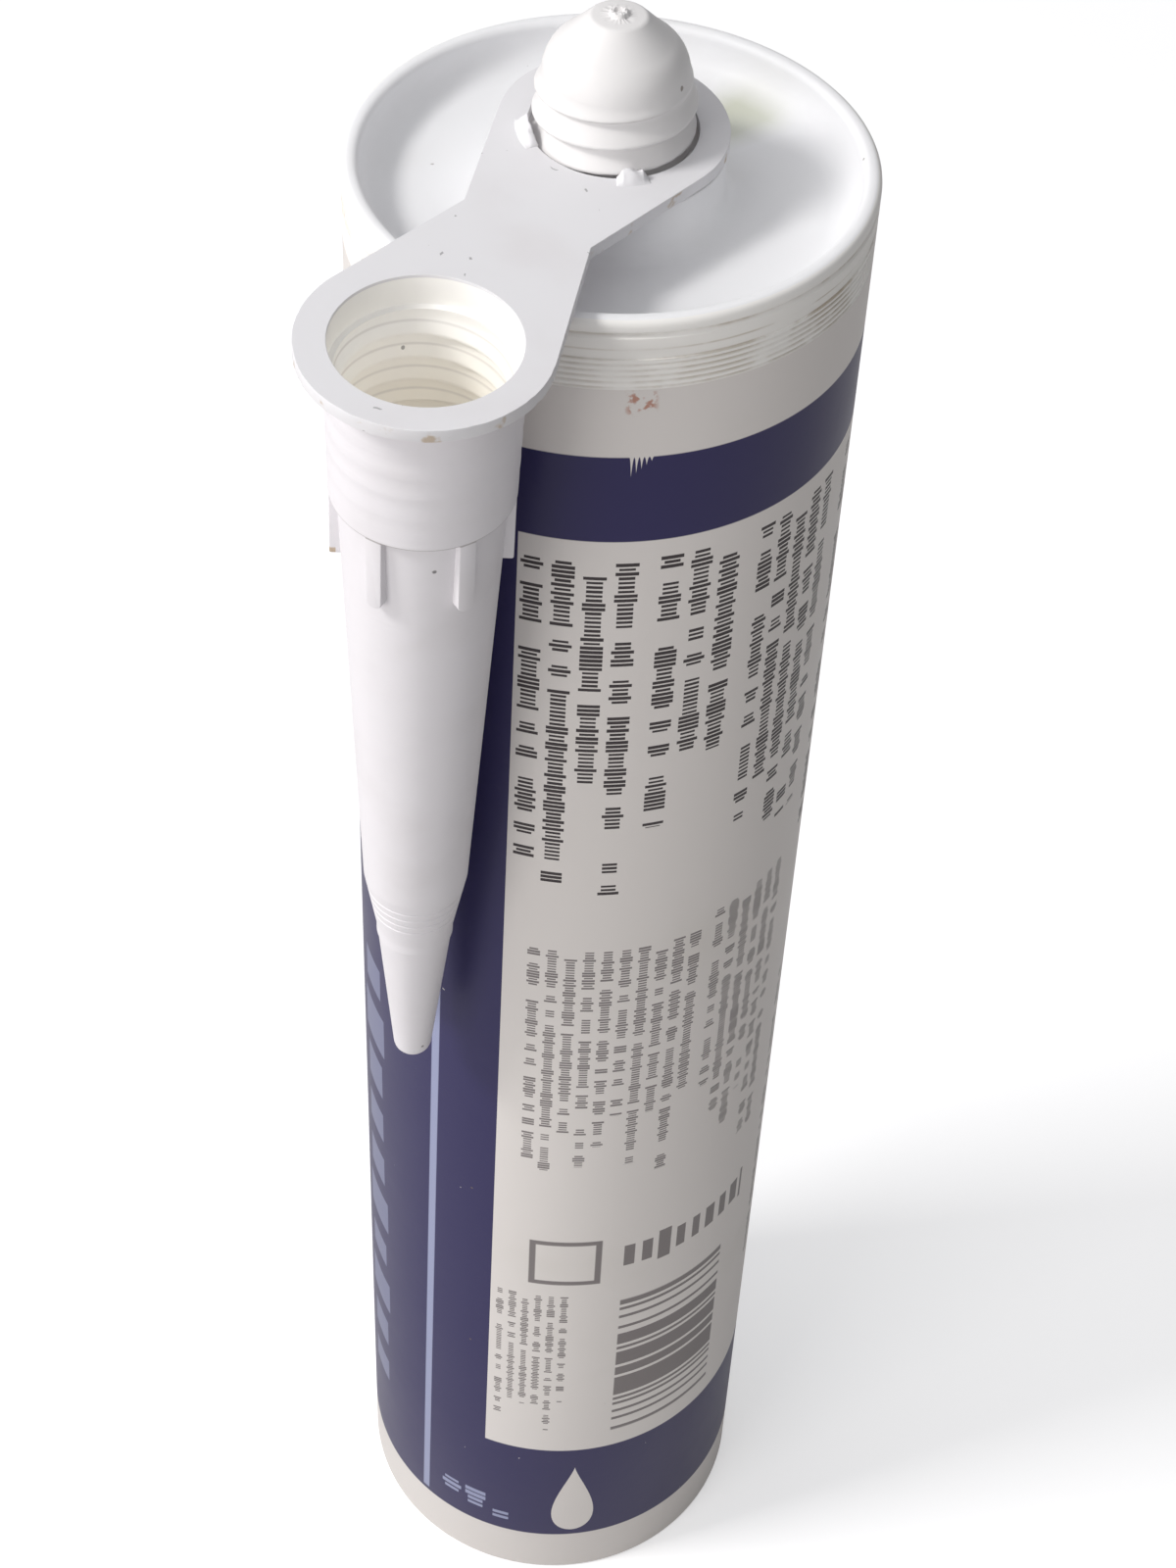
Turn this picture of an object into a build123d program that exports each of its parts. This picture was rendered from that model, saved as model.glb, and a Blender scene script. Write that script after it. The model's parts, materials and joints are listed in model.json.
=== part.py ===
from build123d import *

import os
from math import cos, radians, sin, sqrt

# A 310 ml sealant cartridge of white polyethylene, standing on its open rear end.
# The nozzle hangs beside the barrel from a flat strap that is hooked over the spout.
# Millimetres. The origin is the centre of the rear rim, +Z runs to the spout,
# and the nozzle hangs on the -Y side.

# ---- barrel ----
BARREL_RADIUS = 25.0
BARREL_LENGTH = 214.3       # rear rim to the top of the front rim
WALL = 1.5
REAR_EDGE_ROUND = 0.4
HEAD_THICKNESS = 2.0
DISH_DEPTH = 4.0            # front rim down to the floor of the dished head
DISH_ROUND = 3.0
BORE_END_ROUND = 1.5

# ---- rings moulded round the front of the barrel ----
RIM_BEAD_HEIGHT = 1.5
RIM_WIDTH = 1.7
RIM_BEAD_ROUND = 0.7
BEAD_GROOVE_DEPTH = 0.35
SECOND_BEAD_HEIGHT = 1.5
PLAIN_BAND_HEIGHT = 1.1
PLAIN_BAND_STEP = 0.12
GRIP_GROOVE_COUNT = 5
GRIP_GROOVE_PITCH = 0.62
GRIP_GROOVE_DEPTH = 0.18

# ---- boss and spout ----
BOSS_RISE = 1.3             # front rim up to the top of the boss
BOSS_MARGIN = 2.95          # the boss stands this far out from the spout's thread
BOSS_FOOT_ROUND = 2.0
SPOUT_WALL = 1.55
SPOUT_STRAIGHT = 7.8        # boss top up to the start of the domed tip
DOME_HEIGHT = 5.8
DOME_SHOULDER_STEP = 1.9    # radius lost from the spout's core to the dome's shoulder
DOME_SHOULDER_HEIGHT = 3.5
DOME_TIP_STEP = 2.25        # radius lost from the shoulder to the flat of the tip
DOME_TIP_ROUND = 0.8
TIP_THICKNESS = 1.4
GATE_RADIUS = 0.8
GATE_HEIGHT = 0.5

# ---- thread shared by the spout and the nozzle ----
THREAD_PITCH = 2.6
SPOUT_THREAD_RADIUS = 7.55
THREAD_DEPTH = 0.8
THREAD_START_ANGLE = 150.0
THREAD_RUNOUT = 1.6
THREAD_ROOT_OVERLAP = 0.4
THREAD_CLEARANCE = 0.35     # radial room between the two threads' mating surfaces

# ---- carrier strap, one moulding with the nozzle ----
STRAP_THICKNESS = 1.3
STRAP_SEAT_GAP = 0.23       # left between the boss and the strap's lowest side
STRAP_TILT_OUT = 2.5        # degrees, its nozzle end hangs lower
STRAP_TILT_SIDE = 2.65      # degrees, its +X edge hangs lower
STRAP_EDGE_ROUND = 0.3
SPOUT_HOLE_CLEARANCE = 0.35
SPOUT_RING_WIDTH = 2.85
NOZZLE_RING_WIDTH = 2.45
NOZZLE_SIDE_GAP = 0.85      # barrel's side to the nozzle's collar, along the strap
WAIST_HALF_WIDTH = 6.35
WAIST_FROM_NOZZLE = 18.0

# ---- stretched nibs round the strap's spout hole ----
NIB_SPANS = {-153.0: 27.0, -53.0: 20.0}     # first angle and sweep of each, in degrees
NIB_WIDTH = 1.3
NIB_HEIGHT = 1.2
NIB_CLEARANCE = 0.3

# ---- nozzle, lengths measured down from the strap's top face ----
MOUTH_LEAD_IN = 0.5         # the smooth mouth is this much wider than the thread's root
MOUTH_DEPTH = 3.2
COLLAR_TOP_WALL = 0.95      # thread's root to the collar's outside, at its top
COLLAR_END_WALL = 0.55      # and at its end
COLLAR_END = 16.8
BODY_TOP_RADIUS = 7.72
BODY_END_RADIUS = 5.35
BODY_END = 71.0
CONE_END_RADIUS = 4.0
CONE_END = 79.5
TIP_STEP = 0.12
TIP_STEP_DEPTH = 80.8
TIP_END_RADIUS = 1.95
NOZZLE_LENGTH = 102.3
TIP_END_ROUND = 1.8
NOZZLE_WALL = 0.9
NOZZLE_TIP_THICKNESS = 1.2
NOZZLE_THREAD_TURNS = 4
CUT_RING_COUNT = 4
CUT_RING_PITCH = 1.25
CUT_RING_START = 72.6
CUT_RING_DEPTH = 0.15

GRIP_RIB_COUNT = 6
GRIP_RIB_FIRST_ANGLE = -95.0
GRIP_RIB_WIDTH = 1.5
GRIP_RIB_INSET = 0.1        # the ribs stop this far inside the collar's end
GRIP_RIB_END = 25.0

# ---- piston and filling ----
PISTON_INSET = 15.4         # rear rim up to the piston, with the tube full
PISTON_HEIGHT = 15.0
PISTON_CLEARANCE = 0.08
PISTON_WALL = 1.4
PISTON_FACE = 2.0
PISTON_LIP_HEIGHT = 2.2
PISTON_WAIST_STEP = 0.5
PISTON_NOSE_CHAMFER = 2.0
FILL_SKIN_GAP = 0.08        # the paste's solid stays this far inside the walls


# Radii and heights that follow from the sizes above.
BORE_RADIUS = BARREL_RADIUS - WALL
BOSS_RADIUS = SPOUT_THREAD_RADIUS + BOSS_MARGIN
BOSS_TOP = BARREL_LENGTH + BOSS_RISE
DISH_FLOOR = BARREL_LENGTH - DISH_DEPTH
HEAD_UNDERSIDE = DISH_FLOOR - HEAD_THICKNESS
RIM_BEAD_FOOT = BARREL_LENGTH - RIM_BEAD_HEIGHT
SECOND_BEAD_FOOT = RIM_BEAD_FOOT - SECOND_BEAD_HEIGHT
PLAIN_BAND_FOOT = SECOND_BEAD_FOOT - PLAIN_BAND_HEIGHT
DOME_START = BOSS_TOP + SPOUT_STRAIGHT
SPOUT_TIP = DOME_START + DOME_HEIGHT
CHANNEL_TOP = DOME_START + DOME_SHOULDER_HEIGHT - TIP_THICKNESS
SPOUT_CORE_RADIUS = SPOUT_THREAD_RADIUS - THREAD_DEPTH
SPOUT_CHANNEL_RADIUS = SPOUT_CORE_RADIUS - SPOUT_WALL
DOME_SHOULDER_RADIUS = SPOUT_CORE_RADIUS - DOME_SHOULDER_STEP
DOME_TIP_RADIUS = DOME_SHOULDER_RADIUS - DOME_TIP_STEP
NOZZLE_THREAD_MAJOR = SPOUT_THREAD_RADIUS + THREAD_CLEARANCE
NOZZLE_THREAD_START = MOUTH_DEPTH + NOZZLE_THREAD_TURNS * THREAD_PITCH
MOUTH_RADIUS = NOZZLE_THREAD_MAJOR + MOUTH_LEAD_IN
COLLAR_TOP_RADIUS = NOZZLE_THREAD_MAJOR + COLLAR_TOP_WALL
COLLAR_END_RADIUS = NOZZLE_THREAD_MAJOR + COLLAR_END_WALL
GRIP_RIB_RADIUS = COLLAR_END_RADIUS - GRIP_RIB_INSET
NOZZLE_RING_RADIUS = COLLAR_TOP_RADIUS + NOZZLE_RING_WIDTH
SPOUT_HOLE_RADIUS = SPOUT_THREAD_RADIUS + SPOUT_HOLE_CLEARANCE
SPOUT_RING_RADIUS = SPOUT_HOLE_RADIUS + SPOUT_RING_WIDTH
STRAP_LENGTH = BARREL_RADIUS + NOZZLE_SIDE_GAP + COLLAR_TOP_RADIUS
PISTON_TOP = PISTON_INSET + PISTON_HEIGHT
FILL_BOTTOM = PISTON_TOP + FILL_SKIN_GAP

# The strap's top face at the spout, set so high that its lowest side clears the boss,
# and the nozzle's own frame at its mouth.
STRAP_SLOPE = Plane.XY.rotated((STRAP_TILT_OUT, STRAP_TILT_SIDE, 0))
strap_cosine = STRAP_SLOPE.z_dir.Z
strap_sine = sqrt(1 - strap_cosine**2)
STRAP_TOP = (
    BOSS_TOP + STRAP_SEAT_GAP + (STRAP_THICKNESS + BOSS_RADIUS * strap_sine) / strap_cosine
)
STRAP_PLANE = Plane((0, 0, STRAP_TOP), x_dir=STRAP_SLOPE.x_dir, z_dir=STRAP_SLOPE.z_dir)
NOZZLE_PLANE = Plane(
    origin=STRAP_PLANE.from_local_coords((0, -STRAP_LENGTH, 0)),
    x_dir=STRAP_PLANE.x_dir,
    z_dir=STRAP_PLANE.z_dir,
)


def ring_edges(part, radius, height):
    """The circular edges round Z that have this radius and lie at this height."""
    circles = part.edges().filter_by(GeomType.CIRCLE)
    return circles.filter_by(
        lambda edge: abs(edge.radius - radius) < 1e-3 and abs(edge.arc_center.Z - height) < 1e-3
    )


def body_radius(depth):
    """Outer radius of the nozzle's long taper, at a depth under the strap's top face."""
    share = (depth - COLLAR_END) / (BODY_END - COLLAR_END)
    return BODY_TOP_RADIUS + share * (BODY_END_RADIUS - BODY_TOP_RADIUS)


def tangent_point(ring_radius, ring_y, corner_x, corner_y):
    """Where a line from a corner on the strap's +X side touches a ring's outer side."""
    dx, dy = corner_x, corner_y - ring_y
    reach = dx**2 + dy**2
    along = ring_radius**2 / reach
    across = ring_radius * sqrt(reach - ring_radius**2) / reach
    side = 1 if dy > 0 else -1
    return (along * dx + side * across * dy, ring_y + along * dy - side * across * dx)


# ---- the spout's right-hand buttress thread, run out towards the dome ----
thread_foot = BOSS_TOP + THREAD_PITCH / 2
with BuildPart() as spout_thread:
    with BuildLine() as spout_helix:
        Helix(
            THREAD_PITCH, DOME_START - thread_foot, SPOUT_CORE_RADIUS, center=(0, 0, thread_foot)
        )
    with BuildSketch(Plane(spout_helix.line @ 0, x_dir=(1, 0, 0), z_dir=spout_helix.line % 0)):
        with BuildLine():
            Polyline(
                (-THREAD_ROOT_OVERLAP, 0.30 * THREAD_PITCH),
                (THREAD_DEPTH, 0.25 * THREAD_PITCH),
                (THREAD_DEPTH, 0.10 * THREAD_PITCH),
                (-THREAD_ROOT_OVERLAP, -0.55 * THREAD_PITCH),
                close=True,
            )
        make_face()
    sweep(path=spout_helix.line, is_frenet=True)
    with BuildSketch(Plane.XZ):
        with BuildLine():
            Polyline(
                (0, BOSS_TOP),
                (SPOUT_THREAD_RADIUS + THREAD_ROOT_OVERLAP, BOSS_TOP),
                (SPOUT_THREAD_RADIUS, DOME_START - THREAD_RUNOUT),
                (SPOUT_CORE_RADIUS - THREAD_ROOT_OVERLAP, DOME_START + THREAD_RUNOUT),
                (0, DOME_START + THREAD_RUNOUT),
                close=True,
            )
        make_face()
    revolve(axis=Axis.Z, mode=Mode.INTERSECT)

# ---- barrel: wall, front rings, dished head, boss and closed spout in one moulding ----
shoulder_point = (DOME_SHOULDER_RADIUS, DOME_START + DOME_SHOULDER_HEIGHT)
rim_inner_radius = BARREL_RADIUS - RIM_WIDTH
with BuildPart() as barrel:
    with BuildSketch(Plane.XZ):
        with BuildLine():
            Polyline(
                (BORE_RADIUS, 0),
                (BARREL_RADIUS, 0),
                (BARREL_RADIUS, PLAIN_BAND_FOOT),
                (BARREL_RADIUS - PLAIN_BAND_STEP, PLAIN_BAND_FOOT),
                (BARREL_RADIUS - PLAIN_BAND_STEP, SECOND_BEAD_FOOT),
                (BARREL_RADIUS, SECOND_BEAD_FOOT),
                (BARREL_RADIUS, BARREL_LENGTH),
                (rim_inner_radius, BARREL_LENGTH),
                (rim_inner_radius, DISH_FLOOR),
                (BOSS_RADIUS, DISH_FLOOR),
                (BOSS_RADIUS, BOSS_TOP),
                (SPOUT_CORE_RADIUS, BOSS_TOP),
                (SPOUT_CORE_RADIUS, DOME_START),
            )
            TangentArc((SPOUT_CORE_RADIUS, DOME_START), shoulder_point, tangent=(0, 1))
            Polyline(
                shoulder_point,
                (DOME_TIP_RADIUS, SPOUT_TIP),
                (0, SPOUT_TIP),
                (0, CHANNEL_TOP),
                (SPOUT_CHANNEL_RADIUS - TIP_THICKNESS, CHANNEL_TOP),
                (SPOUT_CHANNEL_RADIUS, CHANNEL_TOP - TIP_THICKNESS),
                (SPOUT_CHANNEL_RADIUS, HEAD_UNDERSIDE),
                (BORE_RADIUS, HEAD_UNDERSIDE),
                (BORE_RADIUS, 0),
            )
        make_face()
    revolve(axis=Axis.Z)
    fillet(ring_edges(barrel, rim_inner_radius, DISH_FLOOR), DISH_ROUND)
    fillet(ring_edges(barrel, BOSS_RADIUS, DISH_FLOOR), BOSS_FOOT_ROUND)
    fillet(ring_edges(barrel, BORE_RADIUS, HEAD_UNDERSIDE), BORE_END_ROUND)
    fillet(ring_edges(barrel, rim_inner_radius, BARREL_LENGTH), RIM_BEAD_ROUND)
    fillet(ring_edges(barrel, BARREL_RADIUS, BARREL_LENGTH), RIM_BEAD_ROUND)
    fillet(ring_edges(barrel, BARREL_RADIUS, 0), REAR_EDGE_ROUND)
    fillet(ring_edges(barrel, DOME_TIP_RADIUS, SPOUT_TIP), DOME_TIP_ROUND)

    # The groove between the two beads, and the fine grip grooves under the plain band.
    with Locations((0, 0, RIM_BEAD_FOOT)):
        Torus(BARREL_RADIUS, BEAD_GROOVE_DEPTH, mode=Mode.SUBTRACT)
    grip_heights = [PLAIN_BAND_FOOT - GRIP_GROOVE_PITCH * (n + 1) for n in range(GRIP_GROOVE_COUNT)]
    with Locations(*[(0, 0, height) for height in grip_heights]):
        Torus(BARREL_RADIUS, GRIP_GROOVE_DEPTH, mode=Mode.SUBTRACT)

    # The moulding gate's stub on the spout's tip.
    with BuildSketch(Plane.XY.offset(SPOUT_TIP)):
        Circle(GATE_RADIUS)
    extrude(amount=GATE_HEIGHT)
    add(spout_thread.part, rotation=(0, 0, THREAD_START_ANGLE))
barrel.part.label = "barrel"

# ---- one of the nozzle's grip ribs, flush with the collar at its top ----
with BuildPart() as grip_rib:
    with BuildSketch(Plane.XY.offset(-GRIP_RIB_END)):
        with Locations((GRIP_RIB_RADIUS - NOZZLE_WALL, 0)):
            Rectangle(2 * NOZZLE_WALL, GRIP_RIB_WIDTH)
    extrude(amount=GRIP_RIB_END - COLLAR_END + STRAP_EDGE_ROUND)
    fillet(grip_rib.faces().sort_by(Axis.X)[-1].edges().sort_by(Axis.Z)[:-1], GRIP_RIB_WIDTH / 5)

# ---- the ridges of the nozzle's inner thread ----
with BuildPart() as nozzle_thread:
    with BuildLine() as nozzle_helix:
        Helix(
            THREAD_PITCH,
            THREAD_PITCH * (NOZZLE_THREAD_TURNS - 0.5),
            NOZZLE_THREAD_MAJOR,
            center=(0, 0, -NOZZLE_THREAD_START),
        )
    with BuildSketch(Plane(nozzle_helix.line @ 0, x_dir=(1, 0, 0), z_dir=nozzle_helix.line % 0)):
        with BuildLine():
            Polyline(
                (THREAD_ROOT_OVERLAP, 0.30 * THREAD_PITCH),
                (-THREAD_DEPTH, 0.10 * THREAD_PITCH),
                (-THREAD_DEPTH, -0.10 * THREAD_PITCH),
                (THREAD_ROOT_OVERLAP, -0.45 * THREAD_PITCH),
                close=True,
            )
        make_face()
    sweep(path=nozzle_helix.line, is_frenet=True)

# ---- nozzle and carrier strap: one moulding, built about the nozzle's own axis ----
spout_centre = (0, STRAP_LENGTH)
waist_corner = (WAIST_HALF_WIDTH, WAIST_FROM_NOZZLE)
right_edge = [
    tangent_point(NOZZLE_RING_RADIUS, 0, *waist_corner),
    waist_corner,
    tangent_point(SPOUT_RING_RADIUS, STRAP_LENGTH, *waist_corner),
]
left_edge = [(-x, y) for x, y in reversed(right_edge)]
with BuildPart() as nozzle:
    with BuildSketch(Plane.XY):
        Circle(NOZZLE_RING_RADIUS)
        with Locations(spout_centre):
            Circle(SPOUT_RING_RADIUS)
        with BuildLine():
            Polyline(*right_edge, *left_edge, close=True)
        make_face()
        with Locations(spout_centre):
            Circle(SPOUT_HOLE_RADIUS, mode=Mode.SUBTRACT)
    extrude(amount=-STRAP_THICKNESS)
    fillet(nozzle.faces().sort_by(Axis.Z)[0].outer_wire().edges(), STRAP_EDGE_ROUND)

    # Collar, long taper, cutting cone and closed tip.
    with BuildSketch(Plane.XZ):
        with BuildLine():
            Polyline(
                (0, -STRAP_EDGE_ROUND),
                (COLLAR_TOP_RADIUS, -STRAP_EDGE_ROUND),
                (COLLAR_END_RADIUS, -COLLAR_END),
                (BODY_TOP_RADIUS, -COLLAR_END),
                (BODY_END_RADIUS, -BODY_END),
                (CONE_END_RADIUS, -CONE_END),
                (CONE_END_RADIUS, -TIP_STEP_DEPTH),
                (CONE_END_RADIUS - TIP_STEP, -TIP_STEP_DEPTH),
                (TIP_END_RADIUS, -NOZZLE_LENGTH),
                (0, -NOZZLE_LENGTH),
                close=True,
            )
        make_face()
    revolve(axis=Axis.Z)
    fillet(ring_edges(nozzle, TIP_END_RADIUS, -NOZZLE_LENGTH), TIP_END_ROUND)
    with PolarLocations(0, GRIP_RIB_COUNT, start_angle=GRIP_RIB_FIRST_ANGLE):
        add(grip_rib.part)

    # Fine rings on the cone that mark where to cut the tip.
    cone_slope = (CONE_END_RADIUS - BODY_END_RADIUS) / (CONE_END - BODY_END)
    for ring in range(CUT_RING_COUNT):
        ring_depth = CUT_RING_START + ring * CUT_RING_PITCH
        ring_radius = BODY_END_RADIUS + cone_slope * (ring_depth - BODY_END)
        with Locations((0, 0, -ring_depth)):
            Torus(ring_radius, CUT_RING_DEPTH, mode=Mode.SUBTRACT)

    # The hollow: smooth mouth, threaded bore, then a passage that follows the taper.
    with BuildSketch(Plane.XZ):
        with BuildLine():
            Polyline(
                (0, 0),
                (MOUTH_RADIUS, 0),
                (MOUTH_RADIUS, -MOUTH_DEPTH),
                (NOZZLE_THREAD_MAJOR, -MOUTH_DEPTH),
                (NOZZLE_THREAD_MAJOR, -NOZZLE_THREAD_START),
                (body_radius(COLLAR_END) - NOZZLE_WALL, -COLLAR_END),
                (BODY_END_RADIUS - NOZZLE_WALL, -BODY_END),
                (CONE_END_RADIUS - NOZZLE_WALL, -CONE_END),
                (TIP_END_RADIUS - NOZZLE_WALL, NOZZLE_TIP_THICKNESS - NOZZLE_LENGTH),
                (0, NOZZLE_TIP_THICKNESS - NOZZLE_LENGTH),
                close=True,
            )
        make_face()
    revolve(axis=Axis.Z, mode=Mode.SUBTRACT)
    add(nozzle_thread.part)

    # Lips of the spout hole that were stretched and turned up over the spout's thread.
    nib_inner_radius = SPOUT_THREAD_RADIUS + NIB_CLEARANCE
    for first_angle, sweep_angle in NIB_SPANS.items():
        radial = (cos(radians(first_angle)), sin(radians(first_angle)), 0)
        section_normal = (radial[1], -radial[0], 0)
        with BuildSketch(Plane((0, STRAP_LENGTH, 0), x_dir=radial, z_dir=section_normal)):
            with BuildLine():
                Polyline(
                    (nib_inner_radius, -STRAP_THICKNESS / 2),
                    (nib_inner_radius, 0.7 * NIB_HEIGHT),
                    (nib_inner_radius + 0.25 * NIB_WIDTH, NIB_HEIGHT),
                    (nib_inner_radius + 0.6 * NIB_WIDTH, 0.8 * NIB_HEIGHT),
                    (nib_inner_radius + NIB_WIDTH, 0),
                    (nib_inner_radius + NIB_WIDTH, -STRAP_THICKNESS / 2),
                    close=True,
                )
            make_face()
        revolve(axis=Axis((0, STRAP_LENGTH, 0), (0, 0, 1)), revolution_arc=sweep_angle)
hung_nozzle = nozzle.part.moved(NOZZLE_PLANE.location)
hung_nozzle.label = "nozzle"

# ---- piston: a cup open to the rear, with a sealing lip at each end of its skirt ----
piston_radius = BORE_RADIUS - PISTON_CLEARANCE
waist_radius = piston_radius - PISTON_WAIST_STEP
hollow_radius = waist_radius - PISTON_WALL
nose_foot = PISTON_TOP - PISTON_NOSE_CHAMFER
with BuildPart() as piston:
    with BuildSketch(Plane.XZ):
        with BuildLine():
            Polyline(
                (0, PISTON_TOP),
                (piston_radius - PISTON_NOSE_CHAMFER, PISTON_TOP),
                (piston_radius, nose_foot),
                (piston_radius, nose_foot - PISTON_LIP_HEIGHT),
                (waist_radius, nose_foot - PISTON_LIP_HEIGHT - PISTON_WAIST_STEP),
                (waist_radius, PISTON_INSET + PISTON_LIP_HEIGHT + PISTON_WAIST_STEP),
                (piston_radius, PISTON_INSET + PISTON_LIP_HEIGHT),
                (piston_radius, PISTON_INSET),
                (hollow_radius, PISTON_INSET),
                (hollow_radius, nose_foot),
                (hollow_radius - PISTON_NOSE_CHAMFER, PISTON_TOP - PISTON_FACE),
                (0, PISTON_TOP - PISTON_FACE),
                close=True,
            )
        make_face()
    revolve(axis=Axis.Z)
piston.part.label = "piston"

# ---- filling: the paste in the bore and in the spout's channel ----
fill_radius = BORE_RADIUS - FILL_SKIN_GAP
fill_top = HEAD_UNDERSIDE - FILL_SKIN_GAP
fill_neck_radius = SPOUT_CHANNEL_RADIUS - FILL_SKIN_GAP
with BuildPart() as paste:
    with BuildSketch(Plane.XZ):
        with BuildLine():
            Polyline(
                (0, FILL_BOTTOM),
                (fill_radius, FILL_BOTTOM),
                (fill_radius, fill_top - BORE_END_ROUND),
                (fill_radius - BORE_END_ROUND, fill_top),
                (fill_neck_radius, fill_top),
                (fill_neck_radius, CHANNEL_TOP - TIP_THICKNESS),
                (fill_neck_radius - TIP_THICKNESS, CHANNEL_TOP - FILL_SKIN_GAP),
                (0, CHANNEL_TOP - FILL_SKIN_GAP),
                close=True,
            )
        make_face()
    revolve(axis=Axis.Z)
paste.part.label = "paste"

os.makedirs("parts", exist_ok=True)
for piece in (barrel.part, hung_nozzle, piston.part, paste.part):
    export_step(piece, f"parts/{piece.label}.step")
fill_litres = paste.part.volume / 1e6
print(f"piston travel {HEAD_UNDERSIDE - PISTON_TOP:.2f} mm, filling {fill_litres:.3f} litres")
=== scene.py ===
"""Looks of a hung-nozzle sealant cartridge: its moulded shapes, print, dirt and studio."""

import json
import logging
from collections.abc import Callable
from dataclasses import dataclass, field
from enum import Enum
from math import atan2, cos, hypot, pi, radians, sin, tau

import bpy
from mathutils import Matrix, Vector, noise

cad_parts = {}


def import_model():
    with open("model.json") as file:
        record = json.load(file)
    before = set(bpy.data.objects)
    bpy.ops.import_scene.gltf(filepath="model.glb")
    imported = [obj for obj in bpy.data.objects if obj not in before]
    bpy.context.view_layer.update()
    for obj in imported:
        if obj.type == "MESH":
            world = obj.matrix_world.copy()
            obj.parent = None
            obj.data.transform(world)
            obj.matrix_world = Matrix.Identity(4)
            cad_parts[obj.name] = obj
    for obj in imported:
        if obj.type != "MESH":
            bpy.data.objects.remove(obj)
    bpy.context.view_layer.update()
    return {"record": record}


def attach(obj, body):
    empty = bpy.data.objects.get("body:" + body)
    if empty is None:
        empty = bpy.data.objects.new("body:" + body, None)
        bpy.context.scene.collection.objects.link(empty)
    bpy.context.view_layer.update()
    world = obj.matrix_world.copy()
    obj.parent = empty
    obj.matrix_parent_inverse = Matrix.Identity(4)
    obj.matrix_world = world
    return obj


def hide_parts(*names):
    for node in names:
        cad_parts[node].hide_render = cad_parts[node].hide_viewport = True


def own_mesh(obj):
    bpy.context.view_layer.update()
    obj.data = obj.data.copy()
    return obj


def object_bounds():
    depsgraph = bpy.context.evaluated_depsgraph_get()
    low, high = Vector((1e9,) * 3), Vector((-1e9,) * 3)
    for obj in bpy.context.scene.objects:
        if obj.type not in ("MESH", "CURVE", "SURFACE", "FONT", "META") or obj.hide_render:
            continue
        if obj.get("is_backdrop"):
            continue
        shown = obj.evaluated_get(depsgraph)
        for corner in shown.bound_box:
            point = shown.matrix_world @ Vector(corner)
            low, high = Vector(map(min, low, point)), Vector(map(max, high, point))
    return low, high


LOG = logging.getLogger("caulk_tube")
MM = 0.001
# Distances in metres, the slacks of a level or a ring in millimetres.
MERGE_DISTANCE = 1e-6
FLAT_SLACK = 1e-7
LEVEL_SLACK = 1e-3
RING_SLACK = 2e-3
SMOOTH_ANGLE = radians(38)
PLASTIC_IOR = 1.5
PLASTIC_SHINE = 0.24

Point = tuple[float, float]
Colour = tuple[float, float, float, float]
EdgeTest = Callable[[Vector, Vector], bool]


class Body(str, Enum):
    """The bodies that pieces ride on."""

    BARREL = "barrel"
    NOZZLE = "nozzle"
    PISTON = "piston"


def ink(red: int, green: int, blue: int) -> Colour:
    """Turn a display colour into the linear colour that a shader takes.

    Args:
        red: Red, 0 to 255.
        green: Green, 0 to 255.
        blue: Blue, 0 to 255.

    Returns:
        Linear red, green, blue and an alpha of one.
    """
    linear = []
    for level in (red, green, blue):
        share = level / 255
        linear.append(share / 12.92 if share <= 0.04045 else ((share + 0.055) / 1.055) ** 2.4)
    return (*linear, 1.0)


# ---------------------------------------------------------------- modelling by hand


def pick_only(piece: bpy.types.Object) -> None:
    """Select one object, make it active and leave the rest alone."""
    bpy.ops.object.select_all(action="DESELECT")
    piece.select_set(True)
    bpy.context.view_layer.objects.active = piece


def corner(previous: Point, at: Point, following: Point, radius: float, steps: int = 5) -> list[Point]:
    """Round one corner of an outline with a tangent arc.

    Args:
        previous: The point before the corner.
        at: The corner itself.
        following: The point after the corner.
        radius: Radius of the arc, in millimetres.
        steps: Number of chords in the arc.

    Returns:
        The points of the arc, from the first tangent point to the last.
    """
    here = Vector(at)
    back = (Vector(previous) - here).normalized()
    ahead = (Vector(following) - here).normalized()
    half_angle = back.angle(ahead) / 2
    if half_angle > 1.56:
        return [at]
    reach = radius / max(1e-6, abs(sin(half_angle) / cos(half_angle)))
    centre = here + (back + ahead).normalized() * (radius / sin(half_angle))
    start = here + back * reach - centre
    end = here + ahead * reach - centre
    turn = start.angle_signed(end)
    arc = []
    for step in range(steps + 1):
        angle = -turn * step / steps
        spoke = Vector((start.x * cos(angle) - start.y * sin(angle),
                        start.x * sin(angle) + start.y * cos(angle)))
        arc.append(tuple(centre + spoke))
    return arc


def outline(corners: list[tuple[float, ...]]) -> list[Point]:
    """Build an outline from corners given as (radius from axis, height, rounding).

    Args:
        corners: Two numbers for a sharp corner, three for a rounded one.

    Returns:
        The outline's points in order.
    """
    points: list[Point] = []
    for index, given in enumerate(corners):
        if len(given) == 2:
            points.append((given[0], given[1]))
        else:
            points += corner(corners[index - 1][:2], given[:2], corners[index + 1][:2], given[2])
    return points


def apply_place() -> None:
    """Put the selected object's place, turn and scale into its mesh."""
    bpy.ops.object.transform_apply(location=True, rotation=True, scale=True)


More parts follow.
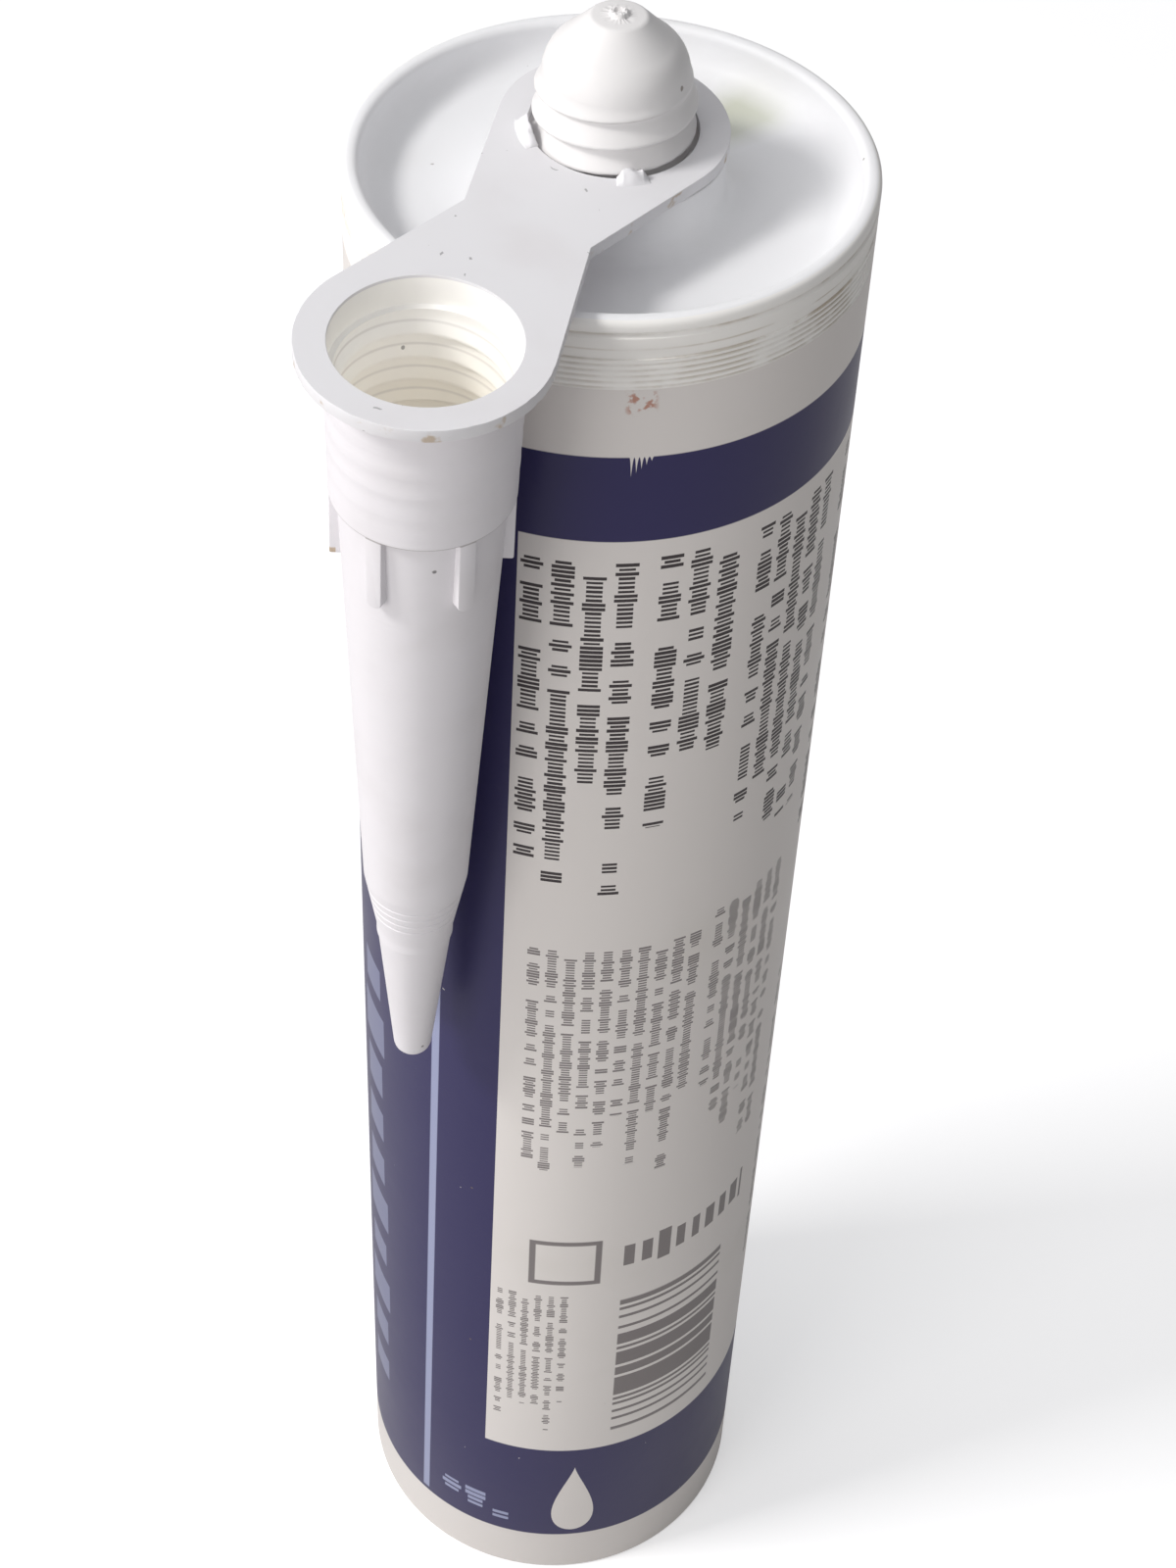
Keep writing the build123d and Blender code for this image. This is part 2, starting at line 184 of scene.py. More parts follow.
def draw_line(name: str, points: list[Point]) -> bpy.types.Object:
    """Draw an outline vertex by vertex beside the Z axis, and stay in edit mode.

    Args:
        name: Name of the new object.
        points: The outline, as radius and height in millimetres.

    Returns:
        The new object with the whole outline selected.
    """
    bpy.ops.object.select_all(action="DESELECT")
    first = points[0]
    bpy.ops.mesh.primitive_plane_add(size=MM, location=(first[0] * MM, 0, first[1] * MM))
    piece = bpy.context.object
    piece.name = name
    apply_place()
    bpy.ops.object.mode_set(mode="EDIT")
    bpy.ops.mesh.select_mode(type="VERT")
    bpy.ops.mesh.select_all(action="SELECT")
    bpy.ops.mesh.merge(type="CENTER")
    for (from_radius, from_height), (radius, height) in zip(points, points[1:]):
        step = ((radius - from_radius) * MM, 0, (height - from_height) * MM)
        bpy.ops.mesh.extrude_vertices_move(TRANSFORM_OT_translate={"value": step})
    bpy.ops.mesh.select_all(action="SELECT")
    return piece


def weld() -> None:
    """Merge doubled vertices of the mesh in edit mode and turn its faces outward."""
    bpy.ops.mesh.select_all(action="SELECT")
    bpy.ops.mesh.remove_doubles(threshold=MERGE_DISTANCE)
    bpy.ops.mesh.normals_make_consistent(inside=False)


def lathe(name: str, points: list[Point], steps: int) -> bpy.types.Object:
    """Draw an outline vertex by vertex and spin it round the Z axis.

    Args:
        name: Name of the new object.
        points: The outline, as radius and height in millimetres.
        steps: Number of facets round the axis.

    Returns:
        The turned object, smooth and in place.
    """
    piece = draw_line(name, points)
    bpy.ops.mesh.spin(steps=steps, angle=tau, center=(0, 0, 0), axis=(0, 0, 1))
    weld()
    bpy.ops.object.mode_set(mode="OBJECT")
    bpy.ops.object.shade_smooth_by_angle(angle=SMOOTH_ANGLE)
    return piece


def dress(piece: bpy.types.Object, material: bpy.types.Material) -> None:
    """Give a piece one material and no other."""
    piece.data.materials.clear()
    piece.data.materials.append(material)


def buttress(phase: float) -> float:
    """Height of a buttress thread, 0 at its root to 1 at its crest.

    Args:
        phase: Place within one pitch, where 0 is the helix itself.

    Returns:
        The share of the thread's depth.
    """
    place = (phase + 0.30) % 1.0 - 0.30
    if place < -0.22:
        share = (place + 0.30) / 0.08
        return share * share * (3 - 2 * share)
    if place < -0.12:
        return 1.0
    return max(0.0, (0.55 - place) / 0.67) ** 1.3


@dataclass(frozen=True)
class Thread:
    """A right-hand helical ridge that stands on a round wall.

    Attributes:
        wall: Radius of the wall before the thread is raised.
        depth: Height of the ridge, negative where it stands inwards.
        pitch: Rise in one turn.
        foot: Height at which the thread begins.
        head: Height at which it has run out.
        foot_run: Length over which it rises at the foot.
        head_run: Length over which it fades at the head.
        origin: Height of the helix at its start angle.
        start: Start angle of the helix, in degrees.
    """

    wall: float
    depth: float
    pitch: float
    foot: float
    head: float
    foot_run: float
    head_run: float
    origin: float
    start: float

    def rows(self, spacing: float) -> list[Point]:
        """Outline points down the wall, close enough for the ridge.

        Args:
            spacing: Height between two rows, in millimetres.

        Returns:
            Points from the head to the foot.
        """
        count = round((self.head - self.foot) / spacing)
        span = self.head - self.foot
        return [(self.wall, self.head - span * row / count) for row in range(count + 1)]

    def raise_on(self, piece: bpy.types.Object) -> None:
        """Move the wall's vertices out, or in, to the helical ridge.

        Args:
            piece: The turned object that holds the wall.
        """
        for vertex in piece.data.vertices:
            radius = hypot(vertex.co.x, vertex.co.y) / MM
            height = vertex.co.z / MM
            if abs(radius - self.wall) > 0.02 or not self.foot < height < self.head:
                continue
            angle = atan2(vertex.co.y, vertex.co.x) - radians(self.start)
            phase = (height - self.origin) / self.pitch - angle / tau
            fade = min(1.0, (self.head - height) / self.head_run, (height - self.foot) / self.foot_run)
            scale = 1 + self.depth * fade * buttress(phase) / radius
            vertex.co.x *= scale
            vertex.co.y *= scale


# ---------------------------------------------------------------- materials as sums


class Graph:
    """Adds nodes to one tree and links them, so that a finish reads as sums."""

    def __init__(self, tree: bpy.types.NodeTree) -> None:
        """Work on this node tree."""
        self.tree = tree

    def node(self, kind: str, **settings: object) -> bpy.types.Node:
        """Add a node of a kind and set its properties."""
        made = self.tree.nodes.new(kind)
        for key, value in settings.items():
            setattr(made, key, value)
        return made

    def feed(self, socket: bpy.types.NodeSocket, value: object) -> None:
        """Link a socket to another, or give it a plain value."""
        if isinstance(value, bpy.types.NodeSocket):
            self.tree.links.new(value, socket)
        else:
            socket.default_value = value

    def math(self, operation: str, *values: object, clamp: bool = False) -> bpy.types.NodeSocket:
        """Add a Math node and return its result."""
        made = self.node("ShaderNodeMath", operation=operation, use_clamp=clamp)
        for socket, value in zip(made.inputs, values):
            self.feed(socket, value)
        return made.outputs[0]

    def times(self, *values: object) -> bpy.types.NodeSocket:
        """The product of two or more values."""
        result = values[0]
        for value in values[1:]:
            result = self.math("MULTIPLY", result, value)
        return result

    def vector(self, operation: str, *values: object) -> bpy.types.NodeSocket:
        """Add a Vector Math node and return its vector or its number."""
        made = self.node("ShaderNodeVectorMath", operation=operation)
        for socket, value in zip(made.inputs, values):
            self.feed(socket, value)
        number = operation in ("DOT_PRODUCT", "LENGTH", "DISTANCE")
        return made.outputs["Value" if number else "Vector"]

    def paint(self, under: object, over: object, mask: object) -> bpy.types.NodeSocket:
        """Lay one colour over another through a mask.

        The Mix node keeps its colours at inputs 6 and 7 and their mix at output 2.
        """
        made = self.node("ShaderNodeMix", data_type="RGBA")
        self.feed(made.inputs["Factor"], mask)
        self.feed(made.inputs[6], under)
        self.feed(made.inputs[7], over)
        return made.outputs[2]

    def noise(self, place: object, scale: float, detail: float = 2.0) -> bpy.types.NodeSocket:
        """Add a Noise Texture and return its grey value."""
        made = self.node("ShaderNodeTexNoise")
        self.feed(made.inputs["Vector"], place)
        self.feed(made.inputs["Scale"], scale)
        self.feed(made.inputs["Detail"], detail)
        return made.outputs["Fac"]

    def ramp(self, value: object, low: float, high: float) -> bpy.types.NodeSocket:
        """Smooth step of a value from 0 at low to 1 at high."""
        made = self.node("ShaderNodeMapRange", interpolation_type="SMOOTHSTEP")
        for name, given in (("Value", value), ("From Min", low), ("From Max", high)):
            self.feed(made.inputs[name], given)
        return made.outputs["Result"]

    def call(self, group: bpy.types.NodeTree, **values: object) -> bpy.types.NodeSocket:
        """Place a node group with its own values and return its first output."""
        made = self.node("ShaderNodeGroup")
        made.node_tree = group
        for name, value in values.items():
            self.feed(made.inputs[name], value)
        return made.outputs[0]

    def join(self, *masks: object) -> bpy.types.NodeSocket:
        """The largest of several masks."""
        result = masks[0]
        for mask in masks[1:]:
            result = self.math("MAXIMUM", result, mask)
        return result


def new_group(name: str, inputs: dict[str, float | None]) -> tuple[bpy.types.NodeTree, Graph, dict]:
    """Begin a shader node group with one Mask output.

    Args:
        name: Name of the group.
        inputs: Input names with their default, or None for a vector input.

    Returns:
        The group's tree, a graph that works on it and its input sockets by name.
    """
    tree = bpy.data.node_groups.new(name, "ShaderNodeTree")
    for key, value in inputs.items():
        kind = "NodeSocketVector" if value is None else "NodeSocketFloat"
        socket = tree.interface.new_socket(name=key, in_out="INPUT", socket_type=kind)
        if value is not None:
            socket.default_value = value
    tree.interface.new_socket(name="Mask", in_out="OUTPUT", socket_type="NodeSocketFloat")
    graph = Graph(tree)
    given = graph.node("NodeGroupInput")
    return tree, graph, {key: given.outputs[key] for key in inputs}


def end_group(graph: Graph, result: bpy.types.NodeSocket) -> None:
    """Link a group's result to its Mask output."""
    graph.feed(graph.node("NodeGroupOutput").inputs["Mask"], result)


def make_band_group() -> bpy.types.NodeTree:
    """A mask that is one between two values, with a blurred edge."""
    tree, graph, given = new_group("band", {"Value": 0, "Low": 0, "High": 1, "Blur": 0.05})
    rise = graph.math("SUBTRACT", given["Value"], given["Low"])
    fall = graph.math("SUBTRACT", given["High"], given["Value"])
    inside = graph.math("MINIMUM", rise, fall)
    edge = graph.math("DIVIDE", inside, given["Blur"])
    end_group(graph, graph.math("ADD", edge, 0.5, clamp=True))
    return tree


def make_speck_group() -> bpy.types.NodeTree:
    """Scattered irregular specks. Share says how many cells hold one."""
    tree, graph, given = new_group("specks", {"Place": None, "Scale": 300, "Size": 0.12, "Share": 0.2})
    bend = graph.noise(given["Place"], 1400.0, 2.0)
    bent = graph.vector("ADD", given["Place"], graph.vector("SCALE", (1, 1, 1), bend))
    shift = graph.vector("SUBTRACT", bent, graph.vector("SCALE", (1, 1, 1), bend))
    cells = graph.node("ShaderNodeTexVoronoi")
    graph.feed(cells.inputs["Vector"], shift)
    graph.feed(cells.inputs["Scale"], given["Scale"])
    chance = graph.node("ShaderNodeSeparateColor")
    graph.feed(chance.inputs[0], cells.outputs["Color"])
    size = graph.times(given["Size"], graph.math("ADD", chance.outputs[1], 0.3))
    ragged = graph.math("ADD", cells.outputs["Distance"], graph.times(bend, 0.10))
    inside = graph.math("SUBTRACT", graph.math("ADD", size, 0.05), ragged)
    spot = graph.math("MULTIPLY", inside, 40.0, clamp=True)
    there = graph.math("LESS_THAN", chance.outputs[0], given["Share"])
    end_group(graph, graph.times(spot, there))
    return tree


def make_hair_group() -> bpy.types.NodeTree:
    """Short curved hair-thin scratches and fibres."""
    tree, graph, given = new_group("hairs", {"Place": None, "Scale": 90, "Width": 0.012, "Share": 0.7})
    swirl = graph.node("ShaderNodeTexNoise")
    graph.feed(swirl.inputs["Vector"], given["Place"])
    swirl.inputs["Scale"].default_value = 160.0
    offset = graph.vector("SCALE", swirl.outputs["Color"])
    graph.feed(offset.node.inputs["Scale"], 0.006)
    cells = graph.node("ShaderNodeTexVoronoi", feature="DISTANCE_TO_EDGE")
    graph.feed(cells.inputs["Vector"], graph.vector("ADD", given["Place"], offset))
    graph.feed(cells.inputs["Scale"], given["Scale"])
    line = graph.math("LESS_THAN", cells.outputs["Distance"], given["Width"])
    patch = graph.math("GREATER_THAN", graph.noise(given["Place"], 760.0, 1.0), given["Share"])
    end_group(graph, graph.times(line, patch))
    return tree


def make_dash_group() -> bpy.types.NodeTree:
    """Rows of short bars that stand for a block of small print, with ragged row ends."""
    inputs = {"Turn": 0, "Height": 0, "First": 0, "Pitch": 5, "Rows": 4, "Top": 100, "Foot": 50,
              "Ragged": 20, "Letter": 1, "Weight": 0.3, "Gap": 0.2}
    tree, graph, given = new_group("dashes", inputs)
    row = graph.math("DIVIDE", graph.math("SUBTRACT", given["Turn"], given["First"]), given["Pitch"])
    index = graph.math("FLOOR", row)
    across = graph.math("ABSOLUTE", graph.math("SUBTRACT", graph.math("SUBTRACT", row, index), 0.5))
    column = graph.math("DIVIDE", graph.math("SUBTRACT", given["Top"], given["Height"]), given["Letter"])
    cell = graph.math("FLOOR", column)
    along = graph.math("ABSOLUTE", graph.math("SUBTRACT", graph.math("SUBTRACT", column, cell), 0.5))
    ends = graph.node("ShaderNodeTexWhiteNoise", noise_dimensions="1D")
    graph.feed(ends.inputs["W"], graph.math("ADD", index, given["First"]))
    foot = graph.math("MULTIPLY_ADD", ends.outputs["Value"], given["Ragged"], given["Foot"])
    both = graph.node("ShaderNodeCombineXYZ")
    graph.feed(both.inputs[0], index)
    graph.feed(both.inputs[1], cell)
    graph.feed(both.inputs[2], given["First"])
    letters = graph.node("ShaderNodeTexWhiteNoise", noise_dimensions="3D")
    graph.feed(letters.inputs["Vector"], both.outputs[0])
    draw = letters.outputs["Value"]
    tall = graph.math("MULTIPLY_ADD", graph.math("GREATER_THAN", draw, 0.62), 0.11, given["Weight"])
    body = graph.math("LESS_THAN", across, tall)
    stroke = graph.math("LESS_THAN", along, graph.math("MULTIPLY_ADD", draw, 0.16, 0.24))
    words = graph.node("ShaderNodeTexWhiteNoise", noise_dimensions="2D")
    pair = graph.node("ShaderNodeCombineXYZ")
    graph.feed(pair.inputs[0], index)
    graph.feed(pair.inputs[1], graph.math("FLOOR", graph.times(cell, 0.34)))
    graph.feed(words.inputs["Vector"], pair.outputs[0])
    word = graph.math("GREATER_THAN", words.outputs["Value"], given["Gap"])
    begun = graph.math("GREATER_THAN", column, 0.0)
    not_past = graph.math("GREATER_THAN", given["Height"], foot)
    in_rows = graph.times(graph.math("GREATER_THAN", row, 0.0),
                         graph.math("LESS_THAN", row, given["Rows"]))
    end_group(graph, graph.times(body, stroke, word, begun, not_past, in_rows))
    return tree


@dataclass
class Effects:
    """The node groups that several finishes share, each built once."""

    band: bpy.types.NodeTree = field(default_factory=make_band_group)
    specks: bpy.types.NodeTree = field(default_factory=make_speck_group)
    hairs: bpy.types.NodeTree = field(default_factory=make_hair_group)
    dashes: bpy.types.NodeTree = field(default_factory=make_dash_group)

    def between(self, graph: Graph, value: object, limits: tuple[object, object], blur: float
                ) -> bpy.types.NodeSocket:
        """A mask that is one where a value lies between two limits.

        Args:
            graph: The material's graph.
            value: The value to test.
            limits: The low and the high limit.
            blur: Width over which the mask fades at each limit.

        Returns:
            The mask.
        """
        return graph.call(self.band, Value=value, Low=limits[0], High=limits[1], Blur=blur)


def new_material(name: str, roughness: float) -> tuple[bpy.types.Material, Graph, bpy.types.Node]:
    """Begin a material with a Principled shader.

    Args:
        name: Name of the material.
        roughness: Roughness to start from.

    Returns:
        The material, a graph that works on it and its Principled shader.
    """
    material = bpy.data.materials.new(name)
    material.use_nodes = True
    shader = material.node_tree.nodes["Principled BSDF"]
    shader.inputs["Roughness"].default_value = roughness
    shader.inputs["IOR"].default_value = PLASTIC_IOR
    shader.inputs["Specular IOR Level"].default_value = PLASTIC_SHINE
    return material, Graph(material.node_tree), shader


def object_place(graph: Graph) -> bpy.types.NodeSocket:
    """The surface point in the object's own coordinates, in metres."""
    return graph.node("ShaderNodeTexCoord").outputs["Object"]


def bump(graph: Graph, shader: bpy.types.Node, height: object, distance: float, strength: float) -> None:
    """Feed a height to the shader's normal.

    Args:
        graph: The material's graph.
        shader: Its Principled shader.
        height: The height socket.
        distance: Depth of the relief, in metres.
        strength: Strength of the relief.
    """
    made = graph.node("ShaderNodeBump")
    graph.feed(made.inputs["Height"], height)
    made.inputs["Distance"].default_value = distance
    made.inputs["Strength"].default_value = strength
    graph.feed(shader.inputs["Normal"], made.outputs["Normal"])


@dataclass(frozen=True)
class DashBlock:
    """One block of small print: rows of bars that run down the barrel.

    Attributes:
        first: Angle of the first row's edge, in degrees round the barrel.
        pitch: Degrees from row to row.
        rows: Number of rows.
        top: Height of the rows' upper ends.
        foot: Height of the longest row's lower end.
        ragged: How much shorter the shortest row may be.
        letter: Length of one bar along the row.
        weight: Half height of a bar, as a share of the pitch.
        gap: Share of the words that are left out.
    """

    first: float
    pitch: float
    rows: int
    top: float
    foot: float
    ragged: float
    letter: float
    weight: float
    gap: float = 0.2

    def mask(self, graph: Graph, effects: Effects, turn: object, height: object) -> bpy.types.NodeSocket:
        """Mask of the block's bars.

        Args:
            graph: The material's graph.
            effects: The shared node groups.
            turn: Place across the rows.
            height: Place along the rows.

        Returns:
            The mask.
        """
        return graph.call(
            effects.dashes, Turn=turn, Height=height, First=self.first, Pitch=self.pitch,
            Rows=float(self.rows), Top=self.top, Foot=self.foot, Ragged=self.ragged, Letter=self.letter,
            Weight=self.weight, Gap=self.gap)


@dataclass(frozen=True)
class Print:
    """The barrel's print: dark blue fields, a pale line, a drop and small print.

    Turns, edges and the smear are in degrees round the barrel. Bands, zones and the drop's span are
    heights in millimetres.
    """

    navy: Colour = ink(47, 43, 86)
    pale: Colour = ink(150, 155, 186)
    text: Colour = ink(62, 56, 58)
    faint_text: Colour = ink(128, 122, 122)
    top_band: Point = (189.1, 199.2)
    foot_band: Point = (8.7, 30.3)
    panel_edge: float = -84.9
    panel_lean: float = 0.022
    panel_far_edge: float = 106.0
    line_at: float = -106.6
    line_lean: float = 0.0455
    line_width: float = 2.5
    line_zone: Point = (9.5, 189.0)
    drop_at: float = -56.2
    drop_span: Point = (9.9, 26.0)
    drop_spread: float = 19.007
    smear_span: Point = (-57.9, -52.7)
    blocks: tuple[DashBlock, ...] = (
        DashBlock(-81.0, 6.9, 4, 186.5, 137.0, 22.0, 0.56, 0.26),
        DashBlock(-50.5, 6.9, 3, 187.0, 139.0, 34.0, 0.56, 0.26),
        DashBlock(-26.0, 5.6, 5, 187.0, 141.0, 16.0, 0.56, 0.26),
        DashBlock(9.0, 6.9, 12, 187.0, 120.0, 26.0, 0.56, 0.26),
    )
    faint_blocks: tuple[DashBlock, ...] = (
        DashBlock(-76.5, 4.6, 10, 131.0, 88.0, 18.0, 0.42, 0.24),
        DashBlock(-28.0, 4.6, 6, 133.0, 84.0, 20.0, 0.42, 0.24),
        DashBlock(-82.5, 3.7, 6, 66.0, 35.0, 8.0, 0.38, 0.2),
        DashBlock(9.0, 5.0, 16, 108.0, 44.0, 14.0, 0.42, 0.24),
    )
    marks: DashBlock = DashBlock(-100.0, 8.5, 3, 16.5, 10.5, 2.0, 1.1, 0.3, 0.3)
    badge: DashBlock = DashBlock(-141.0, 17.0, 1, 112.0, 24.0, 0.0, 9.0, 0.34, 0.0)
    line_of_bars: DashBlock = DashBlock(69.5, 8.0, 1, 47.0, 2.0, 0.0, 5.4, 0.26, 0.1)
    stripe_turn: Point = (-46.0, -10.0)
    stripe_zone: Point = (34.0, 64.0)
    frame_turn: Point = (-72.6, -52.3)
    frame_zone: Point = (68.5, 77.5)
    frame_line: Point = (1.8, 0.8)


@dataclass(frozen=True)
class BarrelFinish:
    """Satin white polyethylene with print, rim dirt and scattered specks.

    A reach is a distance from the axis and a zone is a span of heights, both in millimetres. A turn
    is in degrees round the barrel, and a thread line is a span of one pitch.
    """

    wall: Colour = ink(222, 217, 214)
    # Rim plastic, lighter than the wall: partly bare unprinted plastic, partly a painted highlight.
    rim: Colour = ink(246, 244, 241)
    dish: Colour = ink(240, 240, 242)
    spout: Colour = ink(230, 228, 228)
    dirt: Colour = ink(150, 128, 92)
    groove_dirt: Colour = ink(176, 160, 128)
    # Painted shade for the dish behind the spout.
    stain: Colour = ink(176, 112, 88)
    dish_shade: Colour = ink(196, 200, 178)
    speck: Colour = ink(112, 98, 84)
    thread_shadow: Colour = ink(158, 150, 142)
    cloud_shade: Colour = ink(204, 200, 192)
    outer_reach: float = 24.4
    back_turn: float = 11.0
    rim_zone: Point = (206.9, 216.0)
    dish_reach: float = 24.6
    dish_foot: float = 209.5
    spout_reach: float = 10.0
    spout_foot: float = 215.0
    pitch: float = 2.6
    helix_origin: float = 216.9
    helix_start: float = 150.0
    thread_line: Point = (0.155, 0.215)
    thread_zone: Point = (216.0, 223.2)
    # Where the dish's painted shade lies: a ring of reaches and a span of turns behind the spout.
    dish_shade_ring: Point = (14.0, 21.5)
    dish_shade_turn: Point = (64.0, 84.0)
    film_zone: Point = (207.2, 213.0)
    groove_levels: tuple[float, ...] = (212.8, 211.25, 210.15, 209.58, 208.96, 208.34, 207.72, 207.1)
    groove_half: float = 0.13
    stain_turn: Point = (-59.0, -53.0)
    stain_zone: Point = (204.2, 206.6)
    relief_depth: float = 0.05
    relief_strength: float = 0.22
    roughness: float = 0.42
    print_roughness: float = 0.36
    printing: Print = Print()

    def material(self, effects: Effects) -> bpy.types.Material:
        """Build the barrel's material.

        Args:
            effects: The shared node groups.

        Returns:
            The finished material.
        """
        material, graph, shader = new_material("printed_barrel", self.roughness)
        place = object_place(graph)
        axes = graph.node("ShaderNodeSeparateXYZ")
        graph.feed(axes.inputs[0], place)
        height = graph.times(axes.outputs[2], 1 / MM)
        turn = self._turn(graph, axes)
        flat_place = graph.vector("MULTIPLY", place, (1, 1, 0))
        reach = graph.times(graph.vector("LENGTH", flat_place), 1 / MM)
        outside = graph.math("GREATER_THAN", reach, self.outer_reach)

        colour = self._plastic(graph, effects, place, height, turn, reach)
        navy, pale, text, faint = self._print_masks(graph, effects, height, turn)
        flaws = graph.math("GREATER_THAN", graph.noise(place, 900.0, 3.0), 0.775)
        navy = graph.times(navy, outside, graph.math("SUBTRACT", 1.0, flaws))
        layout = self.printing
        for tint, mask in ((layout.text, graph.times(text, outside)),
                           (layout.faint_text, graph.times(faint, outside)),
                           (layout.navy, navy), (layout.pale, graph.times(pale, outside))):
            colour = graph.paint(colour, tint, mask)
        colour = self._dirt(graph, effects, colour, place, height, turn, outside)
        graph.feed(shader.inputs["Base Color"], colour)

        blotches = graph.noise(place, 60.0, 3.0)
        gloss = graph.math("MULTIPLY_ADD", blotches, 0.12, self.roughness - 0.06)
        printed = graph.times(navy, self.roughness - self.print_roughness)
        graph.feed(shader.inputs["Roughness"], graph.math("SUBTRACT", gloss, printed))
        scuffs = graph.call(effects.hairs, Place=place, Scale=70.0, Width=0.008, Share=0.62)
        relief = graph.math("SUBTRACT", graph.noise(place, 420.0, 3.0), graph.times(scuffs, 1.5))
        bump(graph, shader, relief, self.relief_depth * MM, self.relief_strength)
        return material

    def _turn(self, graph: Graph, axes: bpy.types.Node) -> bpy.types.NodeSocket:
        """Angle round the barrel in degrees, with its jump inside the dark field at the back."""
        middle = radians(self.back_turn)
        x, y = axes.outputs[0], axes.outputs[1]
        along = graph.math("ADD", graph.times(x, cos(middle)), graph.times(y, sin(middle)))
        aside = graph.math("SUBTRACT", graph.times(y, cos(middle)), graph.times(x, sin(middle)))
        return graph.math("MULTIPLY_ADD", graph.math("ARCTAN2", aside, along), 180 / pi, self.back_turn)

    def _plastic(self, graph: Graph, effects: Effects, place: object, height: object, turn: object,
                 reach: object) -> bpy.types.NodeSocket:
        """Bare plastic: wall, rim, dish and spout, the thread's painted shadow and painted shade in the
        dish behind the spout.
        """
        cloud = graph.noise(place, 45.0, 3.0)
        # The rim above the print is painted lighter than the wall, partly as a painted highlight.
        colour = graph.paint(self.wall, self.rim, effects.between(graph, height, self.rim_zone, 0.1))
        in_dish = graph.times(graph.math("LESS_THAN", reach, self.dish_reach),
                              graph.math("GREATER_THAN", height, self.dish_foot))
        colour = graph.paint(colour, self.dish, in_dish)
        on_spout = graph.times(graph.math("LESS_THAN", reach, self.spout_reach),
                               graph.math("GREATER_THAN", height, self.spout_foot))
        colour = graph.paint(colour, self.spout, on_spout)

        start = self.helix_start / 360 - self.helix_origin / self.pitch
        helix = graph.math("SUBTRACT", graph.math("MULTIPLY_ADD", height, 1 / self.pitch, start),
                           graph.math("DIVIDE", turn, 360.0))
        phase = graph.math("FRACT", graph.math("ADD", helix, 0.5))
        under = graph.times(effects.between(graph, phase, self.thread_line, 0.05), on_spout,
                            effects.between(graph, height, self.thread_zone, 0.8))
        colour = graph.paint(colour, self.thread_shadow, graph.times(under, 0.55))
        # Painted shade: a cloudy, greenish, darker patch on the dish behind the spout.
        dish_shade_mask = graph.times(effects.between(graph, reach, self.dish_shade_ring, 3.0),
                            effects.between(graph, turn, self.dish_shade_turn, 9.0), in_dish,
                            graph.ramp(cloud, 0.3, 0.75))
        colour = graph.paint(colour, self.dish_shade, graph.times(dish_shade_mask, 0.85))
        shade = graph.paint(colour, self.cloud_shade, graph.ramp(cloud, 0.52, 0.95))
        return graph.paint(colour, shade, 0.5)

    def _print_masks(self, graph: Graph, effects: Effects, height: object, turn: object
                     ) -> tuple[bpy.types.NodeSocket, ...]:
        """Masks for the dark fields, pale marks, dark print and faint print."""
        layout = self.printing
        saw = graph.math("PINGPONG", graph.times(turn, 1.9), 1.0)
        smear_start, smear_end = layout.smear_span
        fade = graph.math("DIVIDE", graph.math("SUBTRACT", smear_end, turn), smear_end - smear_start)
        spikes = graph.times(graph.math("POWER", saw, 2.0), graph.math("MULTIPLY_ADD", fade, 2.2, 0.3))
        notch = effects.between(graph, turn, layout.smear_span, 0.3)
        top = graph.math("SUBTRACT", layout.top_band[1], graph.times(notch, spikes))
        upper = effects.between(graph, height, (layout.top_band[0], top), 0.12)
        lower = effects.between(graph, height, layout.foot_band, 0.15)
        edge = graph.math("MULTIPLY_ADD", height, layout.panel_lean, layout.panel_edge)
        left = graph.math("LESS_THAN", turn, edge)
        right = graph.math("GREATER_THAN", turn, layout.panel_far_edge)
        printed_zone = (layout.foot_band[0], layout.top_band[1])
        sides = graph.times(graph.join(left, right), effects.between(graph, height, printed_zone, 0.15))
        bare = graph.math("SUBTRACT", 1.0, self._drop(graph, height, turn))
        navy = graph.times(graph.join(upper, lower, sides), bare)

        line_middle = graph.math("MULTIPLY_ADD", height, layout.line_lean, layout.line_at)
        off_line = graph.math("SUBTRACT", turn, line_middle)
        half = layout.line_width / 2
        line = graph.times(effects.between(graph, off_line, (-half, half), 0.3),
                           effects.between(graph, height, layout.line_zone, 0.4))
        marks = layout.marks.mask(graph, effects, turn, height)
        badge = layout.badge.mask(graph, effects, turn, height)
        pale = graph.join(line, marks, graph.times(badge, 0.5))

        text, faint = (graph.join(*(block.mask(graph, effects, turn, height) for block in blocks))
                       for blocks in (layout.blocks, layout.faint_blocks))
        bars = graph.node("ShaderNodeTexWhiteNoise", noise_dimensions="1D")
        graph.feed(bars.inputs["W"], graph.math("FLOOR", graph.times(height, 1.7)))
        stripes = graph.times(graph.math("GREATER_THAN", bars.outputs["Value"], 0.42),
                              effects.between(graph, turn, layout.stripe_turn, 0.3),
                              effects.between(graph, height, layout.stripe_zone, 0.3))
        line_of_bars = layout.line_of_bars.mask(graph, effects, height, graph.times(turn, -1.0))
        return navy, pale, text, graph.join(faint, stripes, self._frame(graph, effects, height, turn),
                                            line_of_bars)

    def _frame(self, graph: Graph, effects: Effects, height: object, turn: object) -> bpy.types.NodeSocket:
        """Mask of the thin frame: a box less the smaller box inside its line."""
        layout = self.printing
        boxes = []
        for wide, tall in ((0.0, 0.0), layout.frame_line):
            across = (layout.frame_turn[0] + wide, layout.frame_turn[1] - wide)
            along = (layout.frame_zone[0] + tall, layout.frame_zone[1] - tall)
            boxes.append(graph.times(effects.between(graph, turn, across, 0.3),
                                     effects.between(graph, height, along, 0.15)))
        return graph.math("SUBTRACT", *boxes, clamp=True)

